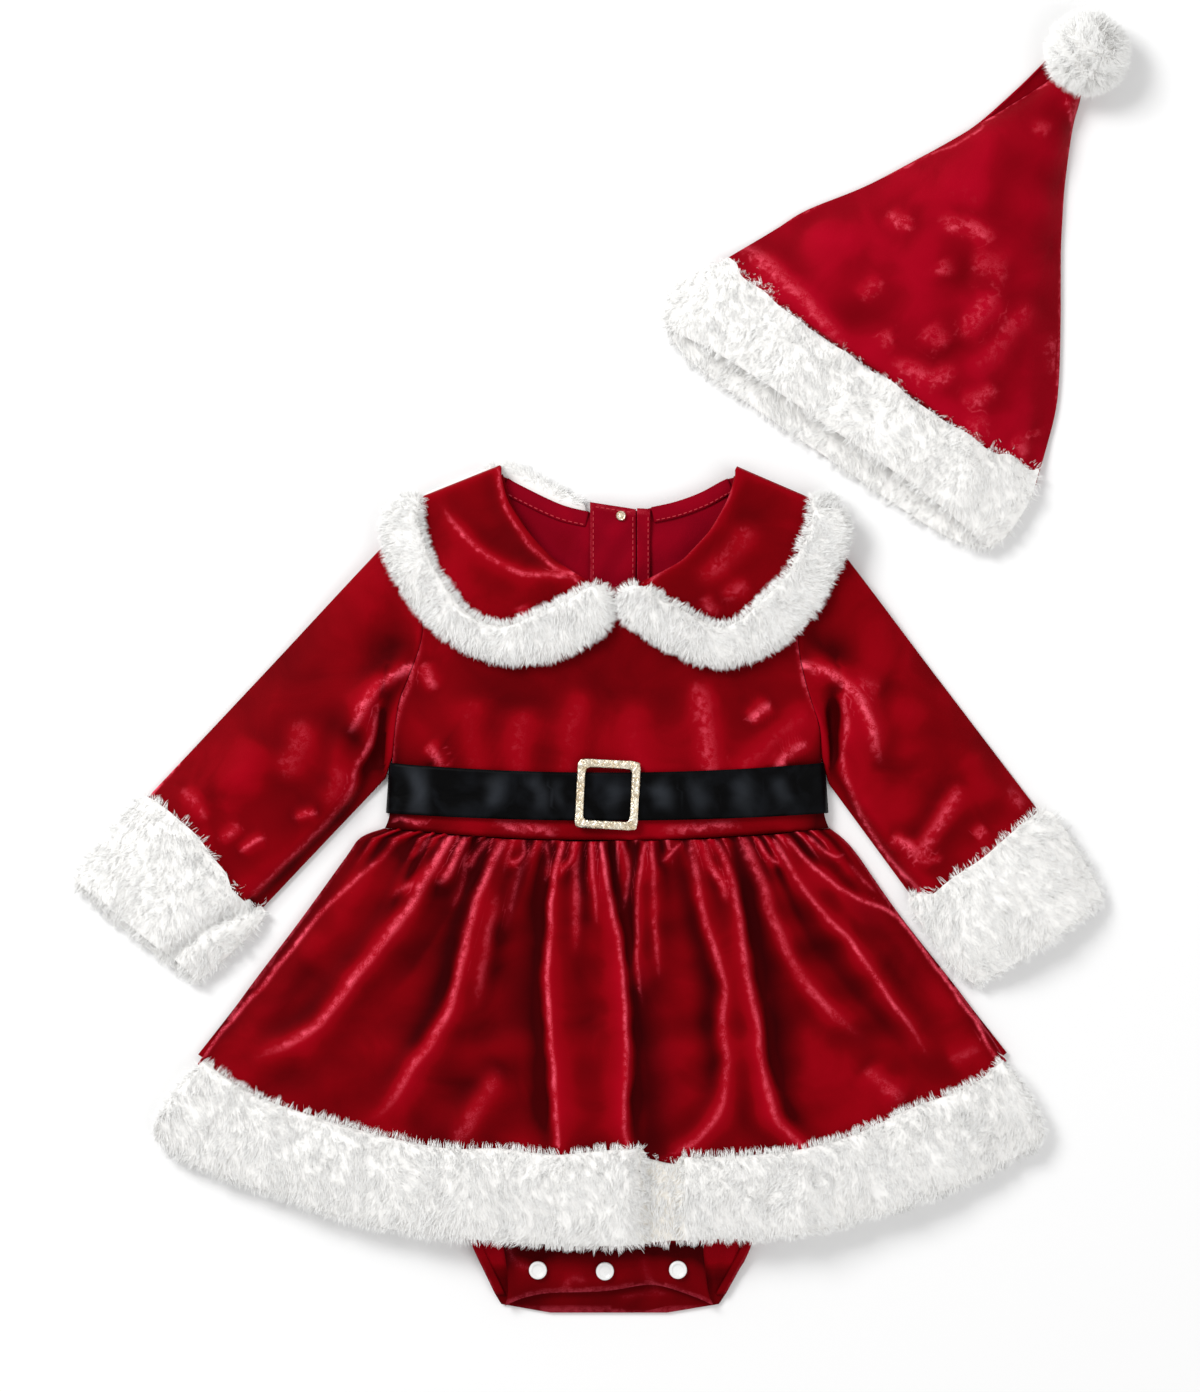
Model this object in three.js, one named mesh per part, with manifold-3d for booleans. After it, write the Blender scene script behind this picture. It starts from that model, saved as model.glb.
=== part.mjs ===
// Baby's velvet romper dress with fur trim, and its pointed hat, laid flat.
// Millimetres, +Z up. The romper's own frame has x = 0 at the middle of the waist,
// y = 0 near the waist seam and +Y towards the neck. The surface it lies on is z = 0.
import * as THREE from 'three';
import { mergeVertices } from 'three/addons/utils/BufferGeometryUtils.js';
import Module from 'manifold-3d';

const wasm = await Module();
wasm.setup();

// Driving dimensions
const cloth = 1.6;            // velvet wall
const lining = 1.2;           // thinner wall of the brief, plackets and bindings
const seamGap = 0.3;          // clearance between pieces
const sideGap = 0.4;          // clearance between front and back at a side seam
const bodyHollow = 9;         // height of the empty space inside the bodice
const beltWidth = 25.4;
const beltWall = 1.5;
const beltHalf = { low: 117.4, high: 114.4 };  // half of the belt laid flat, at its two edges
const backFur = 4.6;          // fur crushed under the garment
const hemBackFur = 4.4;
const collarFurDepth = 9;
const collarGap = 0.8;         // the collar lies loosely on the bodice
const snapRadius = 4.75;
const hatPlace = { x: 144.7, y: 244.9, turn: -34.4 };
const pompom = { a: -3.7, b: 198.1, z: 14.5, reach: 24, core: 13.5, flat: 0.56, locks: 84 };

const colours = {
  velvet: { color: 0x8e0a1c, roughness: 0.62, metalness: 0 },
  fur: { color: 0xf3f1ee, roughness: 0.95, metalness: 0 },
  satin: { color: 0x0c0c0e, roughness: 0.38, metalness: 0 },
  gold: { color: 0xd9bd8c, roughness: 0.3, metalness: 1 },
  snap: { color: 0xf4f4f2, roughness: 0.22, metalness: 0 },
};

// Small maths
const lerp = (a, b, t) => a + (b - a) * t;
const clamp = (t) => Math.min(1, Math.max(0, t));
const mix = (p, q, t) => p.map((value, k) => lerp(value, q[k], t));

function ease(t) {
  const c = clamp(t);
  return c * c * (3 - 2 * c);
}

function table(rows, at) {
  let k = 0;
  while (k < rows.length - 2 && Math.sign(rows[1][0] - rows[0][0]) * (at - rows[k + 1][0]) > 0) k += 1;
  const t = clamp((at - rows[k][0]) / (rows[k + 1][0] - rows[k][0]));
  return mix(rows[k], rows[k + 1], t);
}

function curve(points) {
  const spline = new THREE.SplineCurve(points.map(([x, y]) => new THREE.Vector2(x, y)));
  return (t) => spline.getPointAt(clamp(t)).toArray();
}

function sample(path, steps) {
  return Array.from({ length: steps + 1 }, (_, k) => path(k / steps));
}

function joinPaths(...paths) {
  return paths.flatMap((points, k) => (k === 0 ? points : points.slice(1)));
}

function pick(points, t) {
  const at = clamp(t) * (points.length - 1);
  const k = Math.min(points.length - 2, Math.floor(at));
  return mix(points[k], points[k + 1], at - k);
}

// Coons patch: a plan spread between four edges, s across and v down
function spread(top, bottom, left, right) {
  return (s, v) => [0, 1].map((k) => {
    const down = lerp(pick(top, s)[k], pick(bottom, s)[k], v);
    const across = lerp(pick(left, v)[k], pick(right, v)[k], s);
    const cornersTop = lerp(top[0][k], top[top.length - 1][k], s);
    const cornersBottom = lerp(bottom[0][k], bottom[bottom.length - 1][k], s);
    return down + across - lerp(cornersTop, cornersBottom, v);
  });
}

// Height of soft ridges laid along hand-placed lines
function foldHeight(folds, x, y) {
  let height = 0;
  for (const fold of folds) {
    let nearest = Infinity;
    let place = 0;
    const spans = fold.line.length - 1;
    for (let k = 0; k < spans; k += 1) {
      const [ax, ay] = fold.line[k];
      const [bx, by] = fold.line[k + 1];
      const length = (bx - ax) ** 2 + (by - ay) ** 2;
      const t = clamp(((x - ax) * (bx - ax) + (y - ay) * (by - ay)) / length);
      const away = Math.hypot(x - lerp(ax, bx, t), y - lerp(ay, by, t));
      if (away < nearest) {
        nearest = away;
        place = (k + t) / spans;
      }
    }
    const start = fold.opens ? 1 : ease(place / 0.25);
    const end = fold.runsOut ? 1 : ease((1 - place) / 0.3);
    height += fold.height * Math.exp(-((nearest / fold.width) ** 2)) * start * end;
  }
  return height;
}

// Closed meshes
function solid(points, faces) {
  const geometry = new THREE.BufferGeometry();
  geometry.setAttribute('position', new THREE.Float32BufferAttribute(points.flat(), 3));
  let volume = 0;
  for (const [a, b, c] of faces) {
    const [p, q, r] = [points[a], points[b], points[c]];
    volume += p[0] * (q[1] * r[2] - q[2] * r[1]) + p[1] * (q[2] * r[0] - q[0] * r[2])
      + p[2] * (q[0] * r[1] - q[1] * r[0]);
  }
  const turned = volume < 0 ? faces.map(([a, b, c]) => [a, c, b]) : faces;
  geometry.setIndex(turned.flat());
  geometry.computeVertexNormals();
  return geometry;
}

function quads(faces, a, b, c, d) {
  faces.push([a, b, c], [a, c, d]);
}

// A wall between two grids of points, rows by columns
function wall(outer, inner) {
  const rows = outer.length;
  const cols = outer[0].length;
  const points = [...outer.flat(), ...inner.flat()];
  const at = (side, i, j) => side * rows * cols + i * cols + j;
  const faces = [];
  for (let i = 0; i < rows - 1; i += 1) {
    for (let j = 0; j < cols - 1; j += 1) {
      quads(faces, at(0, i, j), at(0, i, j + 1), at(0, i + 1, j + 1), at(0, i + 1, j));
      quads(faces, at(1, i, j), at(1, i + 1, j), at(1, i + 1, j + 1), at(1, i, j + 1));
    }
  }
  for (let j = 0; j < cols - 1; j += 1) {
    quads(faces, at(0, 0, j), at(1, 0, j), at(1, 0, j + 1), at(0, 0, j + 1));
    quads(faces, at(0, rows - 1, j), at(0, rows - 1, j + 1), at(1, rows - 1, j + 1), at(1, rows - 1, j));
  }
  for (let i = 0; i < rows - 1; i += 1) {
    quads(faces, at(0, i, 0), at(0, i + 1, 0), at(1, i + 1, 0), at(1, i, 0));
    quads(faces, at(0, i, cols - 1), at(1, i, cols - 1), at(1, i + 1, cols - 1), at(0, i + 1, cols - 1));
  }
  return solid(points, faces);
}

// Two sets of closed rings joined at both open ends: a sleeve-like wall
function ringWall(outer, inner) {
  const rows = outer.length;
  const cols = outer[0].length;
  const points = [...outer.flat(), ...inner.flat()];
  const at = (side, i, j) => side * rows * cols + i * cols + (j % cols);
  const faces = [];
  for (let i = 0; i < rows - 1; i += 1) {
    for (let j = 0; j < cols; j += 1) {
      quads(faces, at(0, i, j), at(0, i, j + 1), at(0, i + 1, j + 1), at(0, i + 1, j));
      quads(faces, at(1, i, j), at(1, i + 1, j), at(1, i + 1, j + 1), at(1, i, j + 1));
    }
  }
  for (let j = 0; j < cols; j += 1) {
    quads(faces, at(0, 0, j), at(1, 0, j), at(1, 0, j + 1), at(0, 0, j + 1));
    quads(faces, at(0, rows - 1, j), at(0, rows - 1, j + 1), at(1, rows - 1, j + 1), at(1, rows - 1, j));
  }
  return solid(points, faces);
}

// A band of closed sections, capped at both ends
function sectionBand(sections) {
  const rows = sections.length;
  const cols = sections[0].length;
  const points = sections.flat();
  const faces = [];
  for (let i = 0; i < rows - 1; i += 1) {
    for (let j = 0; j < cols; j += 1) {
      const next = (j + 1) % cols;
      quads(faces, i * cols + j, i * cols + next, (i + 1) * cols + next, (i + 1) * cols + j);
    }
  }
  for (let j = 1; j < cols - 1; j += 1) {
    faces.push([0, j + 1, j]);
    faces.push([(rows - 1) * cols, (rows - 1) * cols + j, (rows - 1) * cols + j + 1]);
  }
  return solid(points, faces);
}

// A sheet laid over a plan: s and v run from 0 to 1
function sheet(plan, cols, rows, top, bottom) {
  const grid = (height) => Array.from({ length: rows + 1 }, (_, i) => (
    Array.from({ length: cols + 1 }, (__, j) => {
      const [s, v] = [j / cols, i / rows];
      const [x, y] = plan(s, v);
      return [x, y, height(x, y, s, v)];
    })));
  return wall(grid(top), grid(bottom));
}

// A flattened tube: its front lies over its back and both ends are open
function tube({ plan, planBack, roof, floor, roofWall, floorWall, sideWall, cols, rows, backCols, even }) {
  const backPlan = planBack ?? plan;
  const across = (v) => Math.hypot(...[0, 1].map((k) => plan(1, v)[k] - plan(0, v)[k]));
  const shrink = (s, v, inside) => (inside ? 0.5 + (s - 0.5) * (1 - (2 * sideWall) / across(v)) : s);
  const ring = (i, inside) => {
    const v = i / rows;
    const points = [];
    for (let j = 0; j <= cols; j += 1) {
      const closer = 0.5 - 0.5 * Math.cos((Math.PI * j) / cols);
      const s = shrink(even ? j / cols : lerp(j / cols, closer, 0.6), v, inside);
      const [x, y] = plan(s, v);
      points.push([x, y, roof(x, y, s, v) - (inside ? roofWall : 0)]);
    }
    for (let j = backCols; j >= 0; j -= 1) {
      const s = shrink(j / backCols, v, inside);
      const [x, y] = backPlan(s, v);
      points.push([x, y, floor(x, y, s, v) + (inside ? floorWall : 0)]);
    }
    return points;
  };
  const rings = (inside) => Array.from({ length: rows + 1 }, (_, i) => ring(i, inside));
  return ringWall(rings(false), rings(true));
}

// Outline of the romper
const waistSeam = curve([[-118.6, 0.6], [-80, -2.6], [-40, -4.8], [0, -5.3], [40, -4.8], [80, -2.6], [118.6, 0.6]]);
const neckFront = curve([
  [-55, 188.5], [-51.2, 174.6], [-45, 163.8], [-37.4, 152.6], [-27, 142], [-10, 129.6], [4.8, 124.6],
  [20, 129.4], [38, 140.8], [48.4, 151.6], [56.2, 162.2], [63.8, 174.6], [67.2, 187.5],
]);
const armhole = {
  left: curve([[-100.6, 169.5], [-98, 148], [-96.5, 122], [-98, 100.7], [-104.4, 82.2], [-109.7, 68.9],
    [-112, 54], [-113.4, 39.4]]),
  right: curve([[107.6, 169.5], [103.5, 148], [99.5, 122], [101, 98], [104.6, 80], [108.7, 66.3],
    [112.4, 54], [113.4, 39.4]]),
};
const sideSeam = {
  left: curve([[-113.4, 39.4], [-110.2, 37], [-110.2, 32], [-113, 16], [-115, 7], [-117.8, 0.9]]),
  right: curve([[113.4, 39.4], [110.2, 37], [110.2, 32], [113, 16], [115, 7], [117.8, 0.9]]),
};
const neckBack = {
  left: curve([[-56.8, 188.5], [-46.1, 182.9], [-24.9, 172.8], [-9, 168.5], [2.8, 167]]),
  right: curve([[69, 187.5], [60, 184.6], [49.3, 178.6], [36, 173.8], [22.8, 170.7], [3.2, 167]]),
};

// Folds of the bodice and sleeves: line, height above the cloth, width
const bodiceFolds = [
  { line: [[-96, 88], [-80, 70], [-66, 46]], height: 2.4, width: 7 },
  { line: [[-104, 62], [-96, 50], [-88, 40]], height: 1.8, width: 5 },
  { line: [[-60, 76], [-52, 56], [-50, 40]], height: 1.6, width: 6 },
  { line: [[-20, 88], [-16, 64], [-10, 44]], height: 1.4, width: 7 },
  { line: [[48, 84], [56, 64], [66, 44]], height: 2.2, width: 7 },
  { line: [[98, 86], [86, 68], [78, 42]], height: 2.4, width: 7 },
  { line: [[106, 58], [98, 48], [92, 38]], height: 1.6, width: 5 },
];
const sleeveFolds = {
  left: [
    { line: [[-102, 86], [-118.7, 77.9], [-124.6, 63], [-131, 36]], height: 5, width: 6, opens: true },
    { line: [[-124, 64], [-127, 46], [-135, 22], [-160, -6], [-186, -34]], height: 3.4, width: 6, runsOut: true },
    { line: [[-116.5, 64], [-117.6, 44], [-124, 22]], height: -4, width: 5 },
    { line: [[-148, 92], [-163, 46], [-176, 10]], height: 2.6, width: 11 },
    { line: [[-172, 9], [-189, 13], [-205, 0]], height: 1.6, width: 5 },
    { line: [[-190, -2], [-202, -8], [-210, -16]], height: 1.6, width: 5 },
  ],
  right: [
    { line: [[104, 90], [116, 84.8], [126.1, 78.4], [134, 62], [139.4, 47]], height: 5, width: 6, opens: true },
    { line: [[122, 76], [123, 48], [132, 18], [152, -14], [165, -34]], height: 3.4, width: 6, runsOut: true },
    { line: [[116.5, 66], [117, 44], [122, 22]], height: -4, width: 5 },
    { line: [[144, -2], [164.8, -13.3], [179, 8], [187, 27]], height: 3.2, width: 6 },
    { line: [[150, 80], [140, 40], [150, 0]], height: 2.4, width: 11 },
    { line: [[188, 62], [206, 20], [214, 4]], height: 1.8, width: 7 },
  ],
};

// Heights of the romper's layers
const beltLift = (x, y) => 1.9 * (1 - ease((y - 42) / 34)) * (Math.abs(x) < 118 ? 1 : 0);
const collarLift = (y) => 5 * ease((y - 80) / 60);
const backTop = (x, y) => beltLift(x, y) + collarLift(y) + cloth;
const bodyHalf = (y) => 117 + 70 * ease((y - 26) / 60);
const shoulderLine = (x) => (x < 0 ? 216.2 + 0.401 * x : 222.6 - 0.431 * x);

function bodyRise(x, y) {
  const across = 1 - clamp(Math.abs(x) / bodyHalf(y)) ** 2.8;
  const toShoulder = ease((shoulderLine(x) - 2 - y) / 84);
  return across * lerp(0.2, 1, toShoulder);
}

const bodyBase = (x, y) => backTop(x, y) + sideGap + bodyHollow * bodyRise(x, y);
const bodyTop = (x, y) => bodyBase(x, y) + cloth + foldHeight(bodiceFolds, x, y);

// Bodice: front in one piece, back in two halves that meet under the placket
const armholeSteps = 11;
const sideSteps = 4;
const waistSteps = 14;

function bodiceFront() {
  const waistInner = sample((t) => waistSeam(lerp(0.003, 0.997, t)), waistSteps)
    .map(([x, y]) => [x, y + seamGap]);
  const outer = joinPaths(
    sample(armhole.left, armholeSteps),
    sample(sideSeam.left, sideSteps),
    waistInner,
    sample(sideSeam.right, sideSteps).reverse(),
    sample(armhole.right, armholeSteps).reverse(),
  );
  const cols = outer.length - 1;
  const inner = sample(neckFront, cols);
  const plan = spread(inner, outer, [inner[0], outer[0]], [inner[cols], outer[cols]]);
  return sheet(plan, cols, 6, bodyTop, (x, y) => bodyTop(x, y) - cloth);
}

function bodiceBack(side) {
  const sign = side === 'left' ? -1 : 1;
  const edge = sign * 0.2 + 3;
  const centre = joinPaths(sample(neckBack[side], 4), sample((t) => [edge, lerp(167, -4.8, t)], 11));
  const outer = joinPaths(sample(armhole[side], armholeSteps), sample(sideSeam[side], sideSteps));
  const last = centre.length - 1;
  const waist = [centre[last], [lerp(edge, sign * 117, 0.5), -3.2], outer[outer.length - 1]];
  const plan = spread([centre[0], outer[0]], waist, centre, outer);
  const base = (x, y) => beltLift(x, y) + collarLift(y);
  return sheet(plan, 4, last, (x, y) => base(x, y) + cloth, base);
}

// Strips sewn on the inside of the back
function strip(points, width, height) {
  const path = curve(points);
  const steps = Math.max(4, points.length * 2);
  const edge = sample(path, steps);
  const inner = edge.map(([x, y], k) => {
    const [ax, ay] = edge[Math.max(0, k - 1)];
    const [bx, by] = edge[Math.min(steps, k + 1)];
    const length = Math.hypot(bx - ax, by - ay);
    return [x + (width * (by - ay)) / length, y - (width * (bx - ax)) / length];
  });
  const plan = spread(edge, inner, [edge[0], inner[0]], [edge[steps], inner[steps]]);
  const base = (x, y) => backTop(x, y) + collarGap / 2;
  return sheet(plan, steps, 2, (x, y) => base(x, y) + height, base);
}

function neckBinding(side) {
  const lines = {
    left: [[-52.5, 186.6], [-46.1, 182.9], [-24.9, 172.8], [-9.6, 168.8]],
    right: [[23.4, 171.2], [36, 174], [49.3, 178.8], [60, 184.6], [64, 186.4]],
  };
  return strip(lines[side], 7, lining);
}

function placket(side) {
  const shape = {
    left: { from: -9, to: 15.4, top: [173.8, 170], bottom: 42 },
    right: { from: 15.9, to: 22.9, top: [170.6, 170.2], bottom: 42 },
  }[side];
  const top = [[shape.from, shape.top[0]], [shape.to, shape.top[1]]];
  const bottom = [[shape.from, shape.bottom], [shape.to, shape.bottom]];
  const plan = spread(top, bottom, [top[0], bottom[0]], [top[1], bottom[1]]);
  const base = (x, y) => backTop(x, y) + collarGap;
  return sheet(plan, 2, 8, (x, y) => base(x, y) + lining, base);
}

// Sleeves: flattened tubes from the armhole to the cuff
const sleeveShape = {
  left: {
    armholeEnd: [-117.6, 27.4],
    shift: -0.35,
    cuff: [[-242.2, 19.8], [-226, 6], [-213, -4.6], [-204.6, -17], [-196, -27], [-182.4, -40.4]],
    crown: 13.5,
  },
  right: {
    armholeEnd: [117.9, 24.4],
    shift: 0.35,
    cuff: [[229.5, 10.4], [218, 4], [204, -7.6], [190, -18.4], [176, -28], [161.4, -34.4]],
    crown: 13.5,
  },
};

function sleeve(side) {
  const shape = sleeveShape[side];
  const seam = sample(armhole[side], armholeSteps).map(([x, y]) => [x + shape.shift, y]);
  const top = [...seam, shape.armholeEnd];
  const bottom = sample(curve(shape.cuff), armholeSteps + 1);
  const last = top.length - 1;
  const plan = spread(top, bottom, [top[0], bottom[0]], [top[last], bottom[last]]);
  const edge = 4.4;
  const floor = (x, y) => collarLift(y);
  const roof = (x, y, s, v) => {
    const dome = floor(x, y) + edge + (shape.crown - edge) * (1 - Math.abs(2 * s - 1) ** 2.6);
    const joint = Math.max(bodyTop(x, y), floor(x, y) + edge);
    const fold = foldHeight(sleeveFolds[side], x, y) * ease(4 * s) * ease(8 * (1 - s)) * ease(6 * v);
    return lerp(joint, dome, ease((v - 0.1) / 0.3)) + fold;
  };
  const planBack = (s, v) => plan(s, v).map((value, k) => value + (k === 0 ? 4 * shape.shift * (1 - v) : 0));
  return tube({
    plan, planBack, roof, floor, roofWall: cloth, floorWall: cloth, sideWall: 2.2,
    cols: armholeSteps + 1, rows: 9, backCols: 6, even: true,
  });
}

// Fur cuffs: thick tubes, the front layer a little shorter than the back
const cuffShape = {
  left: {
    seam: [[-247.6, 19.6], [-233, 10.8], [-216.6, -2.4], [-206.6, -16], [-191, -33], [-178.6, -46]],
    topSide: [[-247.6, 19.6], [-262, 6], [-274, -8.6], [-284, -24], [-282.6, -30]],
    lowSide: [[-178.6, -46], [-184.6, -54], [-202.5, -71.6], [-217.6, -84.6]],
    end: [[-282.6, -30], [-266, -47.7], [-236.9, -72], [-217.6, -84.6]],
    axis: [-0.62, -0.78],
    frontShort: 5.5,
    folds: [{ line: [[-186, -40], [-213, -52], [-236, -72]], height: -5, width: 4, opens: true, runsOut: true }],
  },
  right: {
    seam: [[234, 12.2], [220, 3.4], [199, -13], [177, -28.2], [158.2, -36.6]],
    topSide: [[234, 12.2], [240, 9], [250.7, -8], [265, -33], [263.6, -38.4]],
    lowSide: [[158.2, -36.6], [158.6, -42], [179.1, -71.6], [195.6, -86.4]],
    end: [[263.6, -38.4], [229.5, -63.6], [195.6, -86.4]],
    axis: [0.55, -0.83],
    frontShort: 0,
    folds: [],
  },
};

function cuff(side) {
  const shape = cuffShape[side];
  const seam = shape.seam.map(([x, y]) => [x + 0.7 * shape.axis[0], y + 0.7 * shape.axis[1]]);
  const full = spread(...[seam, shape.end, shape.topSide, shape.lowSide].map((line) => sample(curve(line), 10)));
  const flatEnd = (s) => 1 - Math.abs(2 * s - 1) ** 6;
  const plan = (s, v) => {
    const back = shape.frontShort * v * v * flatEnd(s);
    return full(s, v).map((value, k) => value - shape.axis[k] * back);
  };
  const roof = (x, y, s, v) => {
    const dome = 11 + 8 * (1 - Math.abs(2 * s - 1) ** 3);
    const roll = 2.4 * (1 - Math.abs(2 * v - 1) ** 3);
    return dome + roll - 2 + foldHeight(shape.folds, x, y);
  };
  return tube({
    plan, planBack: full, roof, floor: () => 0, roofWall: 7, floorWall: 5, sideWall: 8, cols: 10, rows: 5, backCols: 4,
  });
}

// Collar rows, from the centre front to the shoulder: neck edge, join of velvet and fur, outer edge
const collarRows = {
  left: [
    { neck: [3.0, 123.5], join: [3.9, 122.8], fur: [4.2, 119.3] },
    { neck: [-4, 130.6], join: [-3.5, 130.2], fur: [0.5, 106] },
    { neck: [-10.1, 132], join: [-9, 131], fur: [-6, 98.5] },
    { neck: [-18, 136.5], join: [-22.3, 123.5], fur: [-24.9, 88] },
    { neck: [-27.6, 143.1], join: [-40.8, 114.5], fur: [-46.1, 85.3] },
    { neck: [-33.5, 148.6], join: [-53.5, 109.2], fur: [-67.3, 90.1] },
    { neck: [-38.2, 153.7], join: [-68, 112.5], fur: [-88.5, 102.3] },
    { neck: [-42.5, 159], join: [-77.9, 121.9], fur: [-104.4, 118.2] },
    { neck: [-46.6, 165], join: [-90.1, 140.5], fur: [-116.1, 137.8] },
    { neck: [-52, 174], join: [-96.5, 158], fur: [-121.4, 157] },
    { neck: [-55.2, 184.6], join: [-98.2, 169], fur: [-118.5, 168.5] },
  ],
  right: [
    { neck: [6.6, 123.5], join: [5.7, 122.8], fur: [5.4, 119.3] },
    { neck: [11.2, 130], join: [10.7, 129.6], fur: [8.6, 111] },
    { neck: [18.6, 131.6], join: [17.6, 130.8], fur: [15, 103.6] },
    { neck: [28, 136], join: [31.6, 123], fur: [33.4, 92.6] },
    { neck: [38.7, 142], join: [44, 116], fur: [50.4, 85.4] },
    { neck: [43.8, 146.8], join: [56.4, 109.2], fur: [69, 85.6] },
    { neck: [49.3, 152.6], join: [67, 111.6], fur: [91.7, 95.4] },
    { neck: [53.6, 157.4], join: [78, 121], fur: [110.2, 111.3] },
    { neck: [57.6, 163.4], join: [92.8, 135.6], fur: [122.4, 133.6] },
    { neck: [63.4, 174], join: [102.6, 155], fur: [130.9, 154.6] },
    { neck: [67.2, 184.6], join: [107, 168.6], fur: [127.6, 167.6] },
  ],
};
// How the collar turns over the shoulder: out from the fold line, share of the height, tilt of the face
const shoulderTurn = [
  { out: -2.4, share: 1, tilt: 10 },
  { out: -0.7, share: 0.86, tilt: 50 },
  { out: 0, share: 0.5, tilt: 90 },
  { out: -0.7, share: 0.14, tilt: 130 },
  { out: -2.4, share: 0, tilt: 180 },
  { out: -4.6, share: 0, tilt: 180 },
];
const shoulderFold = {
  left: { neck: [-56.7, 193.5], join: [-99.1, 176.5], fur: [-114.5, 174] },
  right: { neck: [68.9, 192.9], join: [108.1, 176], fur: [123.5, 174] },
};
// Where the fur runs behind the back: upper edge and lower edge
const backFurRows = {
  left: [
    { upper: [-96.6, 167.4], lower: [-113, 164] },
    { upper: [-92, 160], lower: [-106, 147] },
    { upper: [-81, 164], lower: [-84, 142] },
    { upper: [-63.5, 178.4], lower: [-66, 155] },
    { upper: [-55.4, 188.4], lower: [-56.4, 163] },
    { upper: [-51.6, 195.4], lower: [-49, 166] },
    { upper: [-41, 189.4], lower: [-43, 165] },
    { upper: [-25, 180.6], lower: [-28, 158] },
    { upper: [-9.5, 173.6], lower: [-12, 151] },
  ],
  right: [
    { upper: [105.8, 166.8], lower: [121.6, 164] },
    { upper: [100.6, 159.6], lower: [114, 146] },
    { upper: [89, 163], lower: [92, 141] },
    { upper: [69, 176], lower: [72, 153] },
    { upper: [49, 171], lower: [52, 148.6] },
    { upper: [36, 167.6], lower: [38, 145.6] },
    { upper: [23, 164.6], lower: [24, 142.6] },
  ],
};

// Rows of a table at fractions between its rows, on a smooth line through them
function smoothRows(rows, names, from, perRow) {
  const lines = Object.fromEntries(names.map((name) => (
    [name, new THREE.SplineCurve(rows.map((row) => new THREE.Vector2(...row[name])))])));
  const result = [];
  for (let k = from * perRow; k <= (rows.length - 1) * perRow; k += 1) {
    const t = k / perRow / (rows.length - 1);
    result.push(Object.fromEntries(names.map((name) => [name, lines[name].getPoint(t).toArray()])));
  }
  return result;
}

function shoulderFrame(side) {
  const fold = shoulderFold[side];
  const along = fold.join.map((value, k) => value - fold.neck[k]);
  const length = Math.hypot(...along);
  const sign = side === 'left' ? -1 : 1;
  return { fold, out: [(-sign * along[1]) / length, (sign * along[0]) / length] };
}

function collar(side) {
  const { fold, out } = shoulderFrame(side);
  const across = 5;
  const outer = [];
  const inner = [];
  const addRow = (neck, join, height, tilt) => {
    const rowOuter = [];
    const rowInner = [];
    const slant = (tilt * Math.PI) / 180;
    const normal = [out[0] * Math.sin(slant), out[1] * Math.sin(slant), Math.cos(slant)];
    for (let j = 0; j <= across; j += 1) {
      const [x, y] = mix(neck, join, lerp(0, 1 - 0.3 / Math.hypot(neck[0] - join[0], neck[1] - join[1]), j / across));
      const point = [x, y, height(x, y)];
      rowOuter.push(point);
      rowInner.push(point.map((value, k) => value - normal[k] * cloth));
    }
    outer.push(rowOuter);
    inner.push(rowInner);
  };
  const crest = (x, y) => bodyTop(x, y) + collarGap + cloth;
  for (const row of smoothRows(collarRows[side], ['neck', 'join'], 2, 2)) {
    addRow(row.neck, row.join, crest, 0);
  }
  for (const { out: away, share, tilt } of shoulderTurn) {
    const moved = (point) => point.map((value, k) => value + out[k] * away);
    addRow(moved(fold.neck), moved(fold.join), (x, y) => share * (crest(x, y - 3) + 0.2), tilt);
  }
  return wall(outer, inner);
}

// Cross-section of the collar's fur: place across the band, height above its base
const furSection = [[0.03, 0], [0.5, 0], [0.97, 0], [1, 0.4], [0.74, 1], [0.26, 1], [0, 0.4]];

function collarFur(side) {
  const { fold, out } = shoulderFrame(side);
  const sections = [];
  const addSection = (from, to, height, tilt, depth) => {
    const slant = (tilt * Math.PI) / 180;
    const normal = [out[0] * Math.sin(slant), out[1] * Math.sin(slant), Math.cos(slant)];
    const gap = 0.3 / Math.hypot(from[0] - to[0], from[1] - to[1]);
    sections.push(furSection.map(([q, h]) => {
      const [x, y] = mix(from, to, lerp(Math.min(0.2, gap), 1, q));
      return [x, y, height(x, y)].map((value, k) => value + normal[k] * h * depth);
    }));
  };
  const rows = smoothRows(collarRows[side], ['join', 'fur'], 0, 2);
  rows.forEach(({ join, fur }, k) => {
    const depth = collarFurDepth * lerp(0.45, 1, ease(k / 3));
    addSection(join, fur, (x, y) => bodyTop(x, y) + collarGap + 0.1, 0, depth);
  });
  for (const { out: away, share, tilt } of shoulderTurn.slice(0, 5)) {
    const moved = (point) => point.map((value, k) => value + out[k] * (away - 1.9));
    const depth = lerp(backFur, collarFurDepth * 0.7, share);
    const height = (x, y) => lerp(backFur, bodyTop(x, y) + collarGap + 0.2, share);
    addSection(moved(fold.join), moved(fold.fur), height, tilt, depth);
  }
  for (const row of smoothRows(backFurRows[side], ['upper', 'lower'], 0, 1)) {
    addSection(row.upper, row.lower, () => backFur, 180, backFur);
  }
  return sectionBand(sections);
}

// Belt: a ribbon all round the waist, and the frame buckle on it
const beltLow = (x) => 5.3 + 3.7 * (x / 118) ** 2;
const beltTop = (x, y) => bodyTop(x, y) + 4 * seamGap + beltWall;

function belt() {
  const plan = (s, v) => {
    const half = lerp(beltHalf.low, beltHalf.high, v);
    const x = lerp(-half, half, s);
    return [x, beltLow(x) + beltWidth * v + 1.4 * v * (x / 118) ** 2];
  };
  return tube({
    plan, roof: beltTop, floor: () => 0, roofWall: beltWall, floorWall: beltWall, sideWall: 1.6,
    cols: 20, rows: 2, backCols: 4,
  });
}

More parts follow.
